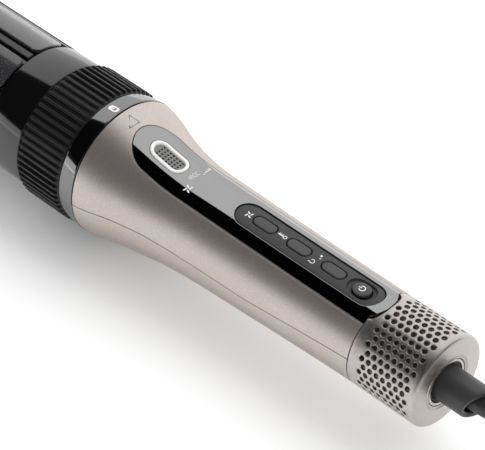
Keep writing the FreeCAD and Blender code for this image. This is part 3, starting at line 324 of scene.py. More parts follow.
class Shape:
    """Points and faces gathered from one or more surfaces, made into one piece."""

    def __init__(self):
        self.points = []
        self.faces = []
        self.aims = []
        self.count = 0

    def add(self, points, faces, aims=None):
        """Adds faces. Aims are the points' normals, or zero where Blender is to work them out."""
        self.faces += [tuple(self.count + i for i in face) for face in faces]
        self.points.append(np.asarray(points, float).reshape(-1, 3))
        self.aims.append(np.zeros_like(self.points[-1]) if aims is None else aims)
        self.count += len(self.points[-1])
        return self

    def rows(self, rows, closed=False, ends=False, aims=None):
        """Quads between rings of points: closed joins the last ring to the first, ends caps both.

        Aims are the normals of the first ring.
        """
        rows = np.array(rows)
        count, size = rows.shape[:2]
        faces = []
        for i in range(count if closed else count - 1):
            a, b = i * size, (i + 1) % count * size
            faces += [(a + j, a + (j + 1) % size, b + (j + 1) % size, b + j) for j in range(size)]
        if ends:
            faces += [tuple(range(size)), tuple((count - 1) * size + j for j in reversed(range(size)))]
        if aims is not None:
            aims = np.concatenate([aims, np.zeros(((count - 1) * size, 3))])
        return self.add(rows, faces, aims)

    def turned(self, profile, steps):
        """A closed profile of (station, radius) pairs turned about the tool's axis."""
        angles = np.arange(steps) * FULL / steps
        return self.rows([on_axis(s, angles, r) for s, r in profile], closed=True)

    def skin(self, rim, holes=(), surface=on_handle, depth=0.0, wall=2.0, bevel=0.25, step=1.7):
        """A layer of a surface cut to closed outlines, with rounded edges.

        Each outline is a function of how far it is grown, giving (station, angle) pairs.
        """
        levels = [(math.sin(t) - 1, 1 - math.cos(t)) for t in np.linspace(0, QUARTER, 4)]
        if bevel == 0:
            levels = [(0.0, 0.0)]
        tops, feet = [], []
        for outline, sign in [(rim, 1)] + [(hole, -1) for hole in holes]:
            rings = [(outline(sign * bevel * g), depth + bevel * d) for g, d in levels]
            rings.append((outline(0.0), depth + wall))
            self.rows(
                [surface(ring[:, 0], ring[:, 1], d) for ring, d in rings],
                aims=facing(surface, *rings[0][0].T, depth) if bevel else None)
            tops.append(rings[0][0])
            feet.append(rings[-1][0])
        flat = [ring * (1, REF) for ring in tops]
        edge = np.concatenate(flat)
        links = []
        start = 0
        for ring in flat:
            links += [(start + i, start + (i + 1) % len(ring)) for i in range(len(ring))]
            start += len(ring)
        filled = np.concatenate([edge, inner_points(flat, edge, step)])
        cut = delaunay_2d_cdt([Vector(p) for p in filled], links, [], 0, 1e-7, True)
        corners = np.array([tuple(p) for p in cut[0]])
        faces = np.array(cut[2])
        faces = faces[inside(corners[faces].mean(1), flat)]
        top = corners / (1, REF)
        foot = top.copy()
        bottom_edge = np.concatenate(feet)
        for i, sources in enumerate(cut[3]):
            for source in sources:
                if source < len(bottom_edge):
                    foot[i] = bottom_edge[source]
        s, angle = top.T
        aims = facing(surface, s, angle, depth) if bevel else None
        self.add(surface(s, angle, depth), [tuple(f) for f in faces], aims)
        return self.add(surface(foot[:, 0], foot[:, 1], depth + wall), [tuple(f[::-1]) for f in faces])

    def make(self, name, finish, body, *nodes, sharp=40.0):
        """The piece: it rides on body and stands for nodes."""
        same_place, no_size = 2e-6, 1e-7
        mesh = bpy.data.meshes.new(name)
        mesh.from_pydata(np.concatenate(self.points).tolist(), [], self.faces)
        edit = bmesh.new()
        edit.from_mesh(mesh)
        aim = edit.verts.layers.float_vector.new("aim")
        for vertex, value in zip(edit.verts, np.concatenate(self.aims)):
            vertex[aim] = Vector(value)
        bmesh.ops.remove_doubles(edit, verts=edit.verts, dist=same_place)
        bmesh.ops.dissolve_degenerate(edit, edges=edit.edges, dist=no_size)
        bmesh.ops.recalc_face_normals(edit, faces=edit.faces)
        aims = [tuple(vertex[aim]) for vertex in edit.verts]
        edit.verts.layers.float_vector.remove(aim)
        edit.to_mesh(mesh)
        edit.free()
        mesh.polygons.foreach_set("use_smooth", [True] * len(mesh.polygons))
        mesh.set_sharp_from_angle(angle=math.radians(sharp))
        if any(map(any, aims)):
            mesh.normals_split_custom_set_from_vertices(aims)
        mesh.materials.append(FINISHES[finish])
        piece = placed(name, mesh)
        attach(piece, body)
        if nodes:
            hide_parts(*nodes)
        return piece


def inside(points, loops):
    """Even-odd test of flat points against closed loops."""
    x, y = points[:, 0:1], points[:, 1:2]
    odd = np.zeros(len(points), bool)
    for loop in loops:
        ax, ay = loop.T
        bx, by = np.roll(loop, -1, 0).T
        crosses = (ay > y) != (by > y)
        with np.errstate(divide="ignore", invalid="ignore"):
            reach = ax + (y - ay) * (bx - ax) / (by - ay)
        odd ^= np.count_nonzero(crosses & (x < reach), axis=1) % 2 == 1
    return odd


def inner_points(loops, edge, step):
    """Points in staggered rows inside flat loops, kept clear of the edge."""
    low, high = edge.min(0), edge.max(0)
    grid = np.stack(np.meshgrid(
        np.arange(low[0] + step / 2, high[0], step), np.arange(low[1] + step / 2, high[1], step),
        indexing="ij"), -1)
    grid[1::2, :, 1] += step / 2
    grid = grid.reshape(-1, 2)
    grid = grid[inside(grid, loops)]
    clear = [np.min(np.hypot(*(edge - point).T)) > step * 0.45 for point in grid]
    return grid[np.array(clear, bool)]


def filleted(profile, radius, steps=4):
    """A closed profile with its corners rounded, less where its sides are short."""
    out = []
    count = len(profile)
    for i in range(count):
        before, corner, after = (np.array(profile[(i + k) % count], float) for k in (-1, 0, 1))
        to_before, to_after = before - corner, after - corner
        reach = min(radius, 0.45 * np.linalg.norm(to_before), 0.45 * np.linalg.norm(to_after))
        a = corner + to_before / np.linalg.norm(to_before) * reach
        b = corner + to_after / np.linalg.norm(to_after) * reach
        for t in np.linspace(0, 1, steps):
            out.append((1 - t) ** 2 * a + 2 * t * (1 - t) * corner + t ** 2 * b)
    return out


def line(a, b, count):
    """Points from a up to, but without, b."""
    t = np.arange(count)[:, None] / count
    return np.array(a, float) * (1 - t) + np.array(b, float) * t


def arc(centre, radius, start, turn, count):
    """Points along an arc, from start by turn, without its last point."""
    t = start + np.arange(count) / count * turn
    return np.stack([centre[0] + radius * np.cos(t), centre[1] + radius * np.sin(t)], -1)


def square(cuts):
    """Points round a square from -1 to 1, with cuts to a side."""
    corners = ((-1, -1), (1, -1), (1, 1), (-1, 1))
    return np.concatenate([line(a, b, cuts) for a, b in zip(corners, corners[1:] + corners[:1])])


def stadium(low, high, half, grow=0.0):
    """Slot outline seen from above: stations low to high, half wide each way."""
    a, b, r = low + half, high - half, half + grow
    side = max(2, round((b - a) / 1.5)) if b > a else 1
    end = 18
    return np.concatenate([
        line((a, r), (b, r), side), arc((b, 0), r, QUARTER, -math.pi, end),
        line((b, -r), (a, -r), side), arc((a, 0), r, -QUARTER, -math.pi, end)])


def seen_from_above(outline):
    """Turns an outline of (station, across) pairs into (station, angle) pairs on the handle."""
    def lifted(grow):
        s, across = outline(grow).T
        return np.stack([s, np.arcsin(np.clip(across / handle_radius(s), -1, 1))], -1)
    return lifted


# ---- camera, floor and light
def facing_matrix(place, right, up, back):
    """The transform of an object at a place that looks along minus back."""
    return Matrix.Translation(place) @ Matrix((right, up, back)).transposed().to_4x4()


def make_camera():
    """The photograph's angle: from the cord end, above and to the -Y side, with a long lens."""
    data = bpy.data.cameras.new("camera")
    data.lens = 185.6
    data.sensor_width = 36.0
    camera = placed("camera", data)
    place = (0.5551, -0.5082, 0.71368)
    right = Vector((0.71818, 0.69586, 0.0))
    up = Vector((-0.47734, 0.49264, 0.72764))
    camera.matrix_world = facing_matrix(place, right, up, right.cross(up))
    bpy.context.scene.camera = camera


def make_floor():
    """A plain pale sheet of paper."""
    half = 6.0
    corners = [(-half, -half, 0), (half, -half, 0), (half, half, 0), (-half, half, 0)]
    mesh = bpy.data.meshes.new("floor")
    mesh.from_pydata(corners, [], [(0, 1, 2, 3)])
    n = Nodes("floor_paper")
    n.set(
        Base_Color=n.mix(n.noise(60.0), shade((0.86, 0.86, 0.86)), shade((0.88, 0.88, 0.88))),
        Roughness=0.9, Specular_IOR_Level=0.1)
    mesh.materials.append(n.material)
    floor = placed("floor", mesh)


def panel_light(name, middle, width, height, radiance, toward):
    """A rectangular soft box that shines toward a direction."""
    data = bpy.data.lights.new(name, "AREA")
    data.shape = "RECTANGLE"
    data.size = width
    data.size_y = height
    data.energy = radiance * width * height * math.pi
    light = placed(name, data)
    back = -Vector(toward).normalized()
    along_x = abs(back.x) < 0.1
    side = Vector((1, 0, 0)) if along_x else Vector((back.y, -back.x, 0)).normalized()
    light.matrix_world = facing_matrix(middle, side, back.cross(side), back)
    light.visible_camera = False


def make_light():
    """A soft box above and behind, whose near edge runs along the tool, and cards behind and in front."""
    top, near, reach = 1.0, 0.058, 1.9
    middle, width = -0.6, 3.6
    panel_light("overhead_box", (middle, near + reach / 2, top), width, reach, 1.25, (0, 0, -1))
    panel_light("back_card", (middle, near + reach, top / 2), width, top, 1.2, (0, -1, 0))
    panel_light("front_card", (middle, -1.0, 0.1), 2.2, 0.2, 1.4, (0.5, 0.86, -0.02))
    world = bpy.data.worlds.new("studio")
    world.use_nodes = True
    sky = world.node_tree.nodes["Background"].inputs
    sky["Color"].default_value = (1.0, 1.0, 1.0, 1.0)
    sky["Strength"].default_value = 1.05
    world.cycles_visibility.glossy = False
    bpy.context.scene.world = world
    bpy.context.scene.view_settings.view_transform = "Standard"


make_camera()
make_floor()
make_light()


# ---- cord
# Routes are in the frame's own millimetres, not in stations.
RELIEF_ROUTE = [(157, 0, AXIS), (188, 0, AXIS), (201, 4.6, AXIS - 0.5), (211, 13.4, AXIS - 2)]
LEAD_ROUTE = [(221.8, 22.8, 28.5), (234, 30, 20.8), (248, 34.6, 12), (263, 38.2, 4.2), (279, 46, 3)]
PLUG_ROUTE = [
    (282.6, 41.2, 27), (293.5, 46, 27), (305.4, 46.4, 28.6), (316.8, 42.6, 32), (325.6, 34.4, 36.4),
    (330.6, 24, 41), (331.9, 12.1, 43),
]
COIL_CENTRE = (302.4, 14.8)
CORD_WIDTH = 6.0


def coil_turns():
    """Turns that lie beside and on each other: every 0.8 of a turn the cord steps sideways or up."""
    outer, turns, per_turn, steps = 39.0, 8, 20, 9
    step_every, step_long = 0.8, 0.2
    first = math.atan2(LEAD_ROUTE[-1][1] - COIL_CENTRE[1], LEAD_ROUTE[-1][0] - COIL_CENTRE[0])
    slack = 0.75 + 0.25 * math.cos(FULL / per_turn)
    points = []
    for i in range(1, turns * per_turn):
        at = i / per_turn
        radius, height = outer, CORD_WIDTH / 2
        for step in range(1, steps + 1):
            share = min(max((at - step * step_every) / step_long, 0.0), 1.0)
            share = share * share * (3 - 2 * share)
            if step % 2 == 0:
                height += CORD_WIDTH * share
            else:
                radius += CORD_WIDTH * share * (1 if step % 4 == 3 else -1)
        angle = first - FULL * at
        reach = radius / slack
        points.append((
            COIL_CENTRE[0] + reach * math.cos(angle), COIL_CENTRE[1] + reach * math.sin(angle), height))
    return points


def curve_towards(name, points, resolution):
    """A smooth curve that starts and ends at its points and is drawn towards the others."""
    data = bpy.data.curves.new(name, "CURVE")
    data.dimensions = "3D"
    data.resolution_u = resolution
    run = data.splines.new("NURBS")
    run.points.add(len(points) - 1)
    for point, place in zip(run.points, points):
        point.co = (*place, 1.0)
    run.order_u = 3
    run.use_endpoint_u = True
    return data


def make_cord():
    """The whole lead: out of the sleeve, down to the floor, round the coil and up to the plug."""
    route = [*RELIEF_ROUTE, *LEAD_ROUTE, *coil_turns(), *PLUG_ROUTE]
    data = curve_towards("power_lead", [[v * MM for v in place] for place in route], 6)
    data.bevel_depth = CORD_WIDTH / 2 * MM
    data.bevel_resolution = 5
    data.use_fill_caps = True
    data.materials.append(FINISHES["cord_black"])
    lead = placed("power_lead", data)
    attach(lead, "handle")
    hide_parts("power_cord", "cord_coil", "plug_lead")
    return lead


lead = make_cord()


def centreline(points):
    """Points of the smooth line that the cord follows along some of its route's points."""
    data = curve_towards("route", points, 12)
    helper = bpy.data.objects.new("route", data)
    mesh = bpy.data.meshes.new_from_object(helper)
    out = np.array([v.co[:] for v in mesh.vertices])
    bpy.data.objects.remove(helper)
    bpy.data.curves.remove(data)
    bpy.data.meshes.remove(mesh)
    return out


def length_along(path):
    """The length of a path up to each of its points."""
    return np.concatenate([[0], np.cumsum(np.linalg.norm(np.diff(path, axis=0), axis=1))])


def rings_along(path, radius_at, steps=32):
    """Rings round a path in millimetres, with the radius that radius_at gives for the length so far."""
    way = np.gradient(path, axis=0)
    way /= np.linalg.norm(way, axis=1)[:, None]
    side = np.cross(way, (0, 0, 1.0))
    side /= np.linalg.norm(side, axis=1)[:, None]
    above = np.cross(side, way)
    t = np.arange(steps) * FULL / steps
    return [
        (p + radius_at(at) * (np.cos(t)[:, None] * a + np.sin(t)[:, None] * b)) * MM
        for p, a, b, at in zip(path, side, above, length_along(path))]


def make_relief():
    """A tapered, ringed sleeve that keeps the cord from kinking where it leaves the handle."""
    path = centreline(RELIEF_ROUTE + LEAD_ROUTE[:1])
    end = np.argmin(np.linalg.norm(path - np.array(RELIEF_ROUTE[-1]), axis=1))
    path = path[:end + 1]
    run = length_along(path)
    fine = np.linspace(0, run[-1], 190)
    path = np.stack([np.interp(fine, run, path[:, k]) for k in range(3)], -1)
    thick, thinning, bore_radius = 4.1, 0.75, 2.7
    plain, pitch, groove = 33.0, 3.6, 0.35
    tail, rim, rim_drop = 1.5, 0.4, 0.25
    long = fine[-1]

    def radius(at):
        """Plain inside the sleeve and at the tail, grooved between, with a softened rim."""
        taper = thick - thinning * max(0.0, at - plain) / (long - plain)
        if at < plain or at > long - tail:
            return taper if at < long - rim else taper - rim_drop
        return taper - groove * (0.5 - 0.5 * math.cos(FULL * (at - plain) / pitch)) ** 2
    rings = rings_along(path, radius)
    bore = rings_along(path[[-1, 0]], lambda at: bore_radius)
    return Shape().rows([*rings, *bore], closed=True).make(
        "cord_strain_relief", "cord_black", "handle", "strain_relief")


relief = make_relief()


def make_plug():
    """A flat two-pin plug: soft shouldered body with grip ridges and a ribbed neck."""
    low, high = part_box("plug_body")
    across = (low.x + high.x) / 2 / MM
    up = (low.z + high.z) / 2 / MM
    face = low.y / MM
    tail = high.y / MM
    length = tail - face
    outline = [
        # share of the length from the face, half width, half thickness
        (0.0, 16.6, 12.1), (0.006, 17.1, 12.6), (0.02, 17.5, 13.0), (0.12, 17.5, 13.0), (0.22, 17.2, 12.6),
        (0.34, 16.2, 11.4), (0.48, 13.4, 9.4), (0.6, 10.4, 7.6), (0.7, 8.0, 6.4), (0.78, 6.4, 5.5),
        (0.84, 5.2, 4.9), (1.0, 4.2, 4.2),
    ]
    share, wide, thick = zip(*outline)
    grip, grip_end, grip_pitch, grip_deep = 0.3, 0.62, 0.04, 0.45
    neck, neck_pitch, neck_deep = 0.82, 0.045, 0.3
    steps = 72
    t = np.arange(steps) * FULL / steps
    rows = []
    for at in np.concatenate([share[:3], np.linspace(0.03, 0.985, 110), [0.995, 1.0]]):
        a = np.interp(at, share, wide)
        b = np.interp(at, share, thick)
        if grip < at < grip_end:
            b -= grip_deep * (0.5 + 0.5 * math.cos(FULL * (at - grip) / grip_pitch))
        if at > neck:
            squeeze = neck_deep * (0.5 + 0.5 * math.cos(FULL * (at - neck) / neck_pitch))
            a, b = a - squeeze, b - squeeze
        power = np.interp(at, (0.0, 0.7, 1.0), (0.62, 0.85, 1.0))
        x = a * np.sign(np.cos(t)) * np.abs(np.cos(t)) ** power
        z = b * np.sign(np.sin(t)) * np.abs(np.sin(t)) ** power
        rows.append(np.stack([across + x, np.full(len(t), face + at * length), up + z], -1) * MM)
    return Shape().rows(rows, ends=True).make("mains_plug", "plug_black", "handle", "plug_body")


plug = make_plug()


# ---- handle
FIT = 0.12              # gap round a piece that is set into another
PANEL_NOSE = 19.5       # station of the middle of the panel's round nose
PANEL_HALF = 11.4       # half its width


def lens_outline(grow):
    """Round nose, straight sides and a short tongue at the rear, seen from above."""
    nose, rear, half, tongue, tip = PANEL_NOSE, HANDLE_REAR, PANEL_HALF + grow, 8.4 + grow, 141.0 + grow
    bulge = tip - rear
    bow = (tongue ** 2 + bulge ** 2) / (2 * bulge)
    swing = math.asin(tongue / bow)
    return np.concatenate([
        line((nose, half), (rear, half), 78), line((rear, half), (rear, tongue), 2),
        arc((tip - bow, 0), bow, swing, -2 * swing, 12), line((rear, -tongue), (rear, -half), 2),
        line((rear, -half), (nose, -half), 78), arc((nose, 0), half, -QUARTER, -math.pi, 36)])


def upper_outline(grow):
    """The upper shell, open for the panel at the top and rear, as (station, angle) pairs."""
    front, rear, nose = HANDLE_FACE - grow, HANDLE_REAR + grow, PANEL_NOSE
    half = PANEL_HALF + FIT - grow
    s = np.linspace(front, rear, 88)
    side = seam_angle(s) + grow / REF
    sight = seen_from_above(lambda g: np.concatenate([
        line((rear, half), (nose, half), 78), arc((nose, 0), half, QUARTER, math.pi, 36),
        line((nose, -half), (rear, -half), 78), [(rear, -half)]]))(0)
    rear_edge = line((rear, side[-1]), tuple(sight[0]), 14)
    return np.concatenate([
        line((front, -side[0]), (front, side[0]), 60), np.stack([s, side], -1)[:-1], rear_edge, sight[:-1],
        line(tuple(sight[-1]), (rear, -side[-1]), 14), np.stack([s, -side], -1)[::-1][:-1]])


def lower_outline(grow):
    """The lower shell, from seam to seam round the underside, as (station, angle) pairs."""
    front, rear = HANDLE_FACE - grow, HANDLE_REAR + grow
    s = np.linspace(front, rear, 88)
    side = seam_angle(s) - grow / REF
    return np.concatenate([
        np.stack([s, side], -1)[:-1], line((rear, side[-1]), (rear, FULL - side[-1]), 60),
        np.stack([s, FULL - side], -1)[::-1][:-1], line((front, FULL - side[0]), (front, side[0]), 60)])


def make_handle():
    """Two shells with a fine seam between them."""
    seam = 0.05
    for side, outline in (("upper", upper_outline), ("lower", lower_outline)):
        Shape().skin(lambda g: outline(g - seam), bevel=0.22).make(
            side + "_shell", "taupe_paint", "handle", f"handle_{side}_shell")


# slots: first station, last station, half width
BAR = (62.3, 136.4, 6.25)
ION = (15.2, 33.4, 4.6)
DISH = (120.1, 132.9, 4.6)
BAR_SINK = 0.55
KEY_SINK = BAR_SINK - 0.12
BUTTONS = {
    # station of the middle, length, width
    "fan": (76.5, 11.3, 5.3), "temperature": (94.3, 11.3, 5.3), "mode": (112.2, 11.3, 5.3),
    "power": (126.6, 8.2, 7.2),
}


def button_outline(name, gap):
    """A button's slot, grown by gap all round."""
    at, length, width = BUTTONS[name]
    return seen_from_above(lambda g: stadium(at - length / 2, at + length / 2, width / 2, g + gap))


def make_panel():
    """The gloss lens, the button bar inset in it with a dish round the power button, and the buttons."""
    bar = seen_from_above(lambda g: stadium(*BAR, g))
    bar_hole = seen_from_above(lambda g: stadium(*BAR, g + FIT))
    ion_hole = seen_from_above(lambda g: stadium(*ION, g + FIT))
    Shape().skin(seen_from_above(lens_outline), [bar_hole, ion_hole], bevel=0.3, step=1.3).make(
        "panel_lens", "panel_gloss", "handle", "control_panel_lens")
    gap = 0.25
    holes = [button_outline(name, gap) for name in ("fan", "temperature", "mode")]
    dish = seen_from_above(lambda g: stadium(*DISH, g))
    cover = Shape().skin(bar, [*holes, dish], depth=BAR_SINK, bevel=0.4, step=1.0)
    well = button_outline("power", gap)
    floor = [(dish(0.1), 0.6), (dish(0.0), 0.95), (dish(-0.25), 1.2), (well(0.25), 1.4), (well(0.0), 1.55)]
    floor += [(well(0.0), 2.3), (dish(0.1), 2.3)]
    cover.rows([on_handle(ring[:, 0], ring[:, 1], BAR_SINK + d) for ring, d in floor], closed=True)
    cover.make("button_bar_cover", "bar_grey", "handle", "button_bar")
    for name in BUTTONS:
        Shape().skin(
            button_outline(name, -0.2), depth=KEY_SINK, wall=2.6, bevel=0.5, step=0.9).make(
            name + "_key", "button_grey", name + "_button", name + "_button")


def make_ion_outlet():
    """A raised pale ring round a grille of square holes."""
    rim = 1.55
    outer = seen_from_above(lambda g: stadium(*ION, g))
    inner = seen_from_above(lambda g: stadium(*ION, g - rim))
    Shape().skin(outer, [inner], depth=-0.35, wall=2.4, bevel=0.62, step=0.5).make(
        "ion_ring", "outlet_white", "handle", "ion_outlet_ring")
    rows, columns, pitch, row_pitch, half = 4, 7, 1.7, 1.5, 0.42
    middle = (ION[0] + ION[1]) / 2


    def hole(s, w):
        return seen_from_above(lambda g: np.array((s, w)) + square(2) * (half + g))
    holes = [
        hole(middle + (i - (columns - 1) / 2) * pitch, (j - (rows - 1) / 2) * row_pitch)
        for i in range(columns) for j in range(rows)]
    Shape().skin(
        seen_from_above(lambda g: stadium(*ION, g - rim - 0.05)), holes, depth=0.7, wall=1.1, bevel=0.08,
        step=0.6).make("ion_grille", "grille_grey", "handle", "ion_outlet_grille")


make_handle()
make_panel()
make_ion_outlet()


# ---- printed signs, and the painted shade of an engraved arrow
class Mark:
    """Thin printed signs, and painted shade for engraved lines, drawn with up towards the head and right
    towards +Y.
    """

    def __init__(self, surface, across_to_angle, depth):
        self.shape = Shape()
        self.surface = surface
        self.across_to_angle = across_to_angle
        self.depth = depth

    def patch(self, at, outline, holes=()):
        """A filled outline with holes, each a list of (right, up) pairs in millimetres about at."""
        def laid(flat):
            s = at[0] - np.array(flat)[:, 1]
            return np.stack([s, self.across_to_angle(s, at[1] + np.array(flat)[:, 0])], -1)
        proud, thick = 0.05, 0.1
        self.shape.skin(
            lambda g: laid(outline), [lambda g, h=hole: laid(h) for hole in holes], self.surface,
            self.depth - proud, thick, bevel=0, step=0.8)

    def bar(self, at, start, end, width):
        """A straight stroke."""
        a, b = np.array(start, float), np.array(end, float)
        side = (b - a)[::-1] * (1, -1) / np.linalg.norm(b - a) * width / 2
        self.patch(at, [a + side, b + side, b - side, a - side])

    def bow(self, at, radius, width, start, turn, centre=(0, 0)):
        """A stroke along an arc, in degrees."""
        t = np.radians(start + np.linspace(0, turn, 28))
        round_line = np.stack([np.cos(t), np.sin(t)], -1)
        self.patch(at, np.concatenate([
            round_line * (radius + width / 2), round_line[::-1] * (radius - width / 2)]) + centre)

    def oval(self, at, centre, long, wide, turn):
        """A filled oval, turned by degrees."""
        steps = 20
        t = np.arange(steps) * FULL / steps
        a = math.radians(turn)
        x, y = long * np.cos(t), wide * np.sin(t)
        flat = np.stack([x * math.cos(a) - y * math.sin(a), x * math.sin(a) + y * math.cos(a)], -1)
        self.patch(at, flat + centre)

    def fan(self, at, size):
        """Four skewed blades."""
        skew = 24
        for way in (45, 135, 225, 315):
            a = math.radians(way)
            middle = np.array((math.cos(a), math.sin(a))) * size * 0.58
            self.oval(at, middle, size * 0.44, size * 0.16, way + skew)

    def make(self, name, finish, body):
        return self.shape.make(name, finish, body)


def on_panel(depth=0.0):
    """Signs on the handle's top, at a depth below its surface."""
    return Mark(on_handle, lambda s, w: np.arcsin(w / handle_radius(s)), depth)


SEGMENTS = {
    # a seven-segment figure's strokes, in a box one wide and two high
    "a": ((0.12, 2), (0.88, 2)), "b": ((1, 1.88), (1, 1.12)), "c": ((1, 0.88), (1, 0.12)),
    "d": ((0.12, 0), (0.88, 0)), "e": ((0, 0.88), (0, 0.12)), "f": ((0, 1.88), (0, 1.12)),
    "g": ((0.12, 1), (0.88, 1)),
}


def make_signs():
    """Generic signs only; their places are (station, distance across) on the handle."""
    readout = on_panel()
    for place, lit in enumerate(("bc", "abcdefg", "abcdef", "adef")):
        for segment in lit:
            readout.bar((38.6, -3.3 + 1.65 * place), *SEGMENTS[segment], 0.19)
    readout.fan((40.6, -6.2), 2.0)
    for step in range(5):
        readout.bar((39.9 - 0.3 * step, 3.6 + 1.2 * step), (0.0, 0.0), (0.0, 0.3 + 0.25 * step), 0.5)
    readout.make("readout_signs", "outlet_white", "handle")

    signs = on_panel(BAR_SINK)
    signs.fan((68.2, -0.4), 1.9)
    thermometer = (85.5, 0.0)
    signs.bow(thermometer, 0.75, 0.3, 100, 340, centre=(0.0, -1.3))
    signs.bar(thermometer, (0.0, -0.6), (0.0, 2.2), 0.5)
    for up in (0.1, 0.9, 1.7):
        signs.bar(thermometer, (0.4, up), (0.9, up), 0.26)
    mode = (103.0, -2.2)
    signs.bow(mode, 0.95, 0.28, 120, 300)
    signs.bar(mode, (-0.5, 0.8), (-0.9, 1.5), 0.28)
    for place, size in (((104.4, 0.9), 0.5), ((103.7, 2.4), 0.9)):
        signs.bar(place, (-size / 2, 0.0), (size / 2, 0.0), size)
    signs.make("bar_signs", "outlet_white", "handle")

    power = on_panel(KEY_SINK)
    at = (BUTTONS["power"][0], 0.0)
    power.bow(at, 1.25, 0.36, 125, 290)
    power.bar(at, (0.0, 0.25), (0.0, 1.6), 0.36)
    power.make("power_sign", "outlet_white", "power_button")

    # The release arrow is an engraved groove: its dark strokes are painted shade of that groove, laid just
    # proud of the handle.
    arrow = on_panel()
    corners = [(0.8, 2.3), (1.9, -2.4), (-3.3, -2.2)]
    for a, b in zip(corners, corners[1:] + corners[:1]):
        arrow.bar((3.5, -0.4), a, b, 0.34)
    arrow.make("release_arrow_painted_shade", "heat_plastic", "handle")


make_signs()


# ---- collar
def make_collar():
    """Finger ribs on a ring: rounded ends at the front, sloped ones at the rear."""
    front, rear = span("locking_collar")
    count, per_rib, half_width = 60, 14, 0.8
    bore, lip_bore, lip = 27.0, 24.9, 1.8
    root, crest, rim = 29.2, 30.45, 29.7
    angles = np.arange(count * per_rib) * FULL / (count * per_rib)
    turn = math.radians(3.0)
    offset = (np.arange(count * per_rib) % per_rib) / per_rib
    across = np.minimum(offset, 1 - offset) * FULL / count * crest
    rows = [on_axis(s, angles, r) for s, r in (
        (front, bore), (front, rim - 0.15), (front + 0.12, rim), (front + 0.5, rim))]
    first, last = front + 0.75, rear - 1.5
    for s in np.concatenate([
            np.linspace(front + 0.55, first + 1.2, 9), np.linspace(first + 1.8, last - 1.0, 18),
            np.linspace(last - 0.4, rear - 0.5, 8)]):
        past = np.maximum(first + half_width - s, 0)
        reach = np.hypot(across, past) / half_width
        lift = np.sqrt(np.clip(1 - np.clip(reach, 0, 1) ** 4, 0, 1))
        slope = np.clip((rear - 0.5 - s) / 1.0, 0, 1)
        rows.append(on_axis(s, angles + turn, root + (crest - root) * lift * slope))
    rows += [on_axis(s, angles, r) for s, r in (
        (rear - 0.2, root - 0.1), (rear, root - 0.4), (rear, lip_bore), (rear - lip, lip_bore),
        (rear - lip, bore))]
    Shape().rows(rows, closed=True).make(
        "collar_ribs", "rib_black", "lock_collar", "locking_collar", sharp=50.0)

    front, rear = span("collar_band")
    narrow, wide = 29.4, 30.2
    profile = [
        (front, lip_bore), (front, 29.15), (front + 0.4, narrow), (rear - 0.45, wide), (rear, 29.85),
        (rear, lip_bore)]
    Shape().turned(filleted(profile, 0.35), 160).make(
        "collar_gloss_band", "band_gloss", "lock_collar", "collar_band")

    def band_radius(s):
        return narrow + 0.8 * (s - front - 0.4) / (rear - front - 0.85)

    def on_band(s, angle, depth):
        return on_axis(s, angle, band_radius(s) - depth)
    sign = Mark(on_band, lambda s, w: w / band_radius(s), 0.0)
    t = np.linspace(0, math.pi, 12)
    half, reach = 1.4, 1.2
    pill = np.concatenate([
        np.stack([half * np.cos(t), reach + half * np.sin(t)], -1),
        np.stack([-half * np.cos(t), -reach - half * np.sin(t)], -1)])
    lock = [(-0.75, -1.3), (0.75, -1.3), (0.75, 0.0), (-0.75, 0.0)]
    shackle = np.concatenate([
        np.stack([0.6 * np.cos(t), 0.55 + 0.7 * np.sin(t)], -1), [(-0.6, 0.15), (-0.32, 0.15)],
        np.stack([-0.32 * np.cos(t), 0.55 + 0.42 * np.sin(t)], -1), [(0.32, 0.15), (0.6, 0.15)]])
    sign.patch((-5.6, -1.45), pill, [lock, shackle])
    sign.make("lock_sign", "outlet_white", "lock_collar")


make_collar()


# ---- head
LAND = math.radians(-2.5)       # angle of the first bristle strip
LANDS = 8
PITCH = FULL / LANDS


def rounded_patch(low, high, half, corner, middle, radius):
    """A rounded rectangle on the barrel, from station low to high, half wide each way."""
    def outline(grow):
        a, b, h, r = low - grow, high + grow, half + grow, corner + grow
        side = max(2, round((high - low) / 2.0))
        end, bend = 6, 7
        flat = np.concatenate([
            line((a + r, h), (b - r, h), side), arc((b - r, h - r), r, QUARTER, -QUARTER, bend),
            line((b, h - r), (b, r - h), end), arc((b - r, r - h), r, 0, -QUARTER, bend),
            line((b - r, -h), (a + r, -h), side), arc((a + r, r - h), r, -QUARTER, -QUARTER, bend),
            line((a, r - h), (a, h - r), end), arc((a + r, h - r), r, math.pi, -QUARTER, bend)])
        return np.stack([flat[:, 0], middle + flat[:, 1] / radius], -1)
    return outline


def make_barrel():
    """The barrel with its thicker neck, and the heated plates set on it between the strips."""
    front, rear = span("head_barrel")
    neck = span("heat_plate_1")[1] + 1.3
    core, neck_radius, bore = 27.0, 28.9, 25.5
    socket, socket_deep = bore + 1.3, 24.8
    profile = [
        (front, bore), (front, core), (neck, core), (neck, neck_radius), (rear, neck_radius),
        (rear, socket), (rear - socket_deep, socket), (rear - socket_deep, bore)]
    Shape().turned(filleted(profile, 0.45), 160).make("barrel_core", "barrel_black", "head", "head_barrel")
    front, rear = span("heat_plate_1")
    radius = 29.0
    half = math.radians(16.0) * radius
    for number in range(LANDS):
        middle = LAND + PITCH * (number + 0.5)
        Shape().skin(
            rounded_patch(front, rear, half, 3.0, middle, radius), surface=on_round(radius), wall=1.9,
            bevel=0.55, step=3.0).make(
            f"ceramic_plate_{number + 1}", "plate_ceramic", "head", f"heat_plate_{number + 1}")


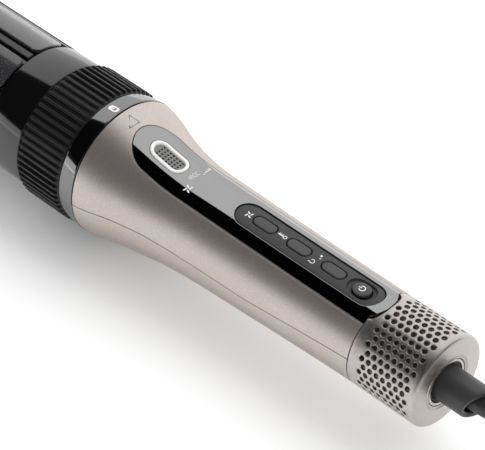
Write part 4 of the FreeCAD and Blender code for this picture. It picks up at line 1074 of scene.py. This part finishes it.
def make_strips():
    """Bristle strips: a low ridge, and a row of ball-tipped pins on it."""
    front, rear = span("bristle_strip_1")
    first, last, bristles = -172.0, -104.0, 18
    crest, tip = 28.6, 35.45
    profile = [
        # distance from the axis, radius of the pin
        (crest - 0.5, 0.72), (crest + 0.15, 0.66), (crest + 0.6, 0.5), (tip - 1.7, 0.36),
        (tip - 1.35, 0.44), (tip - 1.05, 0.6), (tip - 0.7, 0.66), (tip - 0.35, 0.58), (tip - 0.1, 0.34),
        (tip, 0.08)]
    sides = 10
    t = np.arange(sides) * FULL / sides
    for number in range(LANDS):
        middle = LAND + PITCH * number
        shape = Shape()
        shape.skin(
            rounded_patch(front, rear, math.radians(3.0) * crest, 0.5, middle, crest),
            surface=on_round(crest), wall=1.5, bevel=0.3, step=1.5)
        out = Vector((0, math.sin(middle), math.cos(middle)))
        side = Vector((0, math.cos(middle), -math.sin(middle)))
        ways = [Vector((1, 0, 0)) * math.cos(a) + side * math.sin(a) for a in t]
        for s in np.linspace(first, last, bristles):
            base = Vector((s + SHIFT, 0, AXIS))
            shape.rows([[(base + out * r + way * w) * MM for way in ways] for r, w in profile], ends=True)
        shape.make(f"bristles_{number + 1}", "bristle_nylon", "head", f"bristle_strip_{number + 1}")


def make_end_cap():
    """The head's tip: a plug that fits in the barrel, and a rounded disc with a shallow dimple."""
    front, rear = span("head_end_cap")
    seam = rear - 6.0
    plug, bore, disc, centre = 25.45, 23.4, 28.9, 0.01
    profile = [
        (rear, bore), (rear, plug), (seam, plug), (seam, disc), (front + 3.0, disc), (front + 0.9, 27.8),
        (front, 25.6), (front, 14.0), (front + 0.5, 12.5), (front + 0.5, centre), (front + 2.0, centre),
        (front + 2.0, bore)]
    Shape().turned(filleted(profile, 0.8), 128).make("tip_cap", "barrel_black", "head", "head_end_cap")


make_barrel()
make_strips()
make_end_cap()


# ---- rear cap and swivel
def grid_faces(rows, columns):
    """The quads of a grid of points, rows by columns quads."""
    wide = columns + 1
    return [
        (k * wide + j, k * wide + j + 1, (k + 1) * wide + j + 1, (k + 1) * wide + j)
        for k in range(rows) for j in range(columns)]


def make_rear_cap():
    """Perforated metal cap: rows of round holes with rolled edges."""
    front, rear = span("rear_filter_cap")
    radius, wall = 19.8, 1.0
    columns, cuts, holes_long = 40, 4, 8
    pitch, first = 3.2, 143.3
    hole, lip = 1.1, 0.3
    start, end = first - pitch / 2, first + (holes_long - 0.5) * pitch
    width = FULL / columns
    turn = math.radians(4.5)
    angles = turn - width / 2 + np.arange(columns * cuts) * width / cuts
    shape = Shape()

    def ring(s, depth):
        return on_axis(s, angles, radius - depth)

    # front edge, notched for the panel's tongue
    across = np.abs(radius * np.sin(angles))
    half, deep = 8.75, 4.0
    bow = deep * np.sqrt(np.clip(1 - (across / half) ** 2, 0, 1))
    notch = np.where((np.cos(angles) > 0) & (across < half), bow, 0)
    begin = front + np.minimum(notch, deep * 0.97)
    shape.rows([ring(begin + t * (start - begin), depth) for t, depth in (
        (1.0, wall), (0.0, wall), (0.0, 0.25), (0.02, 0.07), (0.06, 0.0), (0.5, 0.0), (1.0, 0.0))])

    # rounded rear edge, and the rear face with a groove and the hole for the sleeve
    corner, hole_rear, floor = 1.7, 10.4, 2.0
    tail = [(end, 0.0), (rear - 1.9, 0.0)]
    tail += [
        (rear - corner + corner * math.sin(a), corner - corner * math.cos(a))
        for a in np.linspace(0, QUARTER, 9)]
    face = [(rear, r) for r in (17.0, 14.0, 11.9)]
    face += [
        (rear - back, r) for back, r in (
            (0.15, 11.75), (0.35, 11.6), (0.35, 11.2), (0.1, 11.05), (0.0, 10.9), (0.1, 10.5),
            (0.3, hole_rear), (floor, hole_rear), (floor, radius - wall))]
    rings = [ring(s, d) for s, d in tail] + [ring(s, radius - r) for s, r in face]
    shape.rows([*rings, ring(end, wall)])

    # one cell for each hole, with plain cells that even out the shorter columns
    border = square(cuts) / 2 * (pitch, width)
    ways = np.arctan2(border[:, 1] / width, border[:, 0] / pitch)
    for column in range(columns):
        middle = turn + column * width
        odd = column % 2
        for i in range(holes_long - odd):
            at = first + (i + odd / 2) * pitch
            edge = border + (at, middle)

            def circle(r, depth):
                return on_axis(at + r * np.cos(ways), middle + r * np.sin(ways) / radius, radius - depth)
            shape.rows([
                on_axis(edge[:, 0], edge[:, 1], radius), circle(hole + lip, 0.0), circle(hole + 0.14, 0.05),
                circle(hole + 0.03, 0.16), circle(hole, 0.32), circle(hole, wall),
                on_axis(edge[:, 0], edge[:, 1], radius - wall)])
        if odd:
            side = middle + (np.arange(cuts + 1) / cuts - 0.5) * width
            for low, high in ((start, first), (end - pitch / 2, end)):
                for depth in (0.0, wall):
                    quad = [on_axis(s, side, radius - depth) for s in np.linspace(low, high, 3)]
                    shape.add(quad, grid_faces(2, cuts))
    shape.make("perforated_cap", "cap_nickel", "rear_filter", "rear_filter_cap")


def make_bush():
    """The swivel's bush, with a ring of radial teeth on its rear face."""
    front, rear = span("swivel_bush")
    teeth, per_tooth, deep = 36, 6, 0.55
    bore, outer, bead = 7.45, 9.0, 8.3
    count = np.arange(teeth * per_tooth)
    angles = count * FULL / (teeth * per_tooth)
    notch = np.where(count % per_tooth < per_tooth // 2, 0.0, deep)
    Shape().rows([on_axis(s, angles, r) for s, r in (
        (front, bore), (front, outer), (rear - 0.9, outer), (rear - 0.3 - notch, 8.95), (rear - notch, 8.7),
        (rear - notch, 7.8), (rear - 0.3 - notch, 7.5), (rear - 1.0, bore), (front + 8.0, bore),
        (front + 8.0, bead), (front + 5.0, bead), (front + 5.0, bore))], closed=True).make(
        "swivel_ring", "inner_plastic", "handle", "swivel_bush", sharp=30.0)


def make_sleeve():
    """The cord swivel, its mouth cut off at a slant."""
    inner = span("cord_swivel_sleeve")[0]
    long_end, short_end = 189.0, 182.4
    bore, outer, bead = 4.9, 7.4, 8.1
    steps = 96
    t = np.arange(steps) * FULL / steps
    slant = (long_end - short_end) / 2 * np.cos(t - math.radians(60.0))
    mouth = (long_end + short_end) / 2 + slant
    rows = [on_axis(inner + at, t, r) for at, r in (
        (0.0, bore), (0.0, 7.2), (0.2, outer), (1.4, outer), (1.4, bead), (3.6, bead), (3.6, outer),
        (14.0, outer))]
    rows += [on_axis(mouth - back, t, r) for back, r in (
        (2.0, outer), (0.7, outer), (0.3, 7.32), (0.08, 7.15), (0.0, 6.85), (0.0, 5.55), (0.1, 5.25),
        (0.35, 5.0), (0.8, bore))]
    Shape().rows(rows, closed=True).make("swivel_sleeve", "plug_black", "swivel", "cord_swivel_sleeve")


make_rear_cap()
make_bush()
make_sleeve()
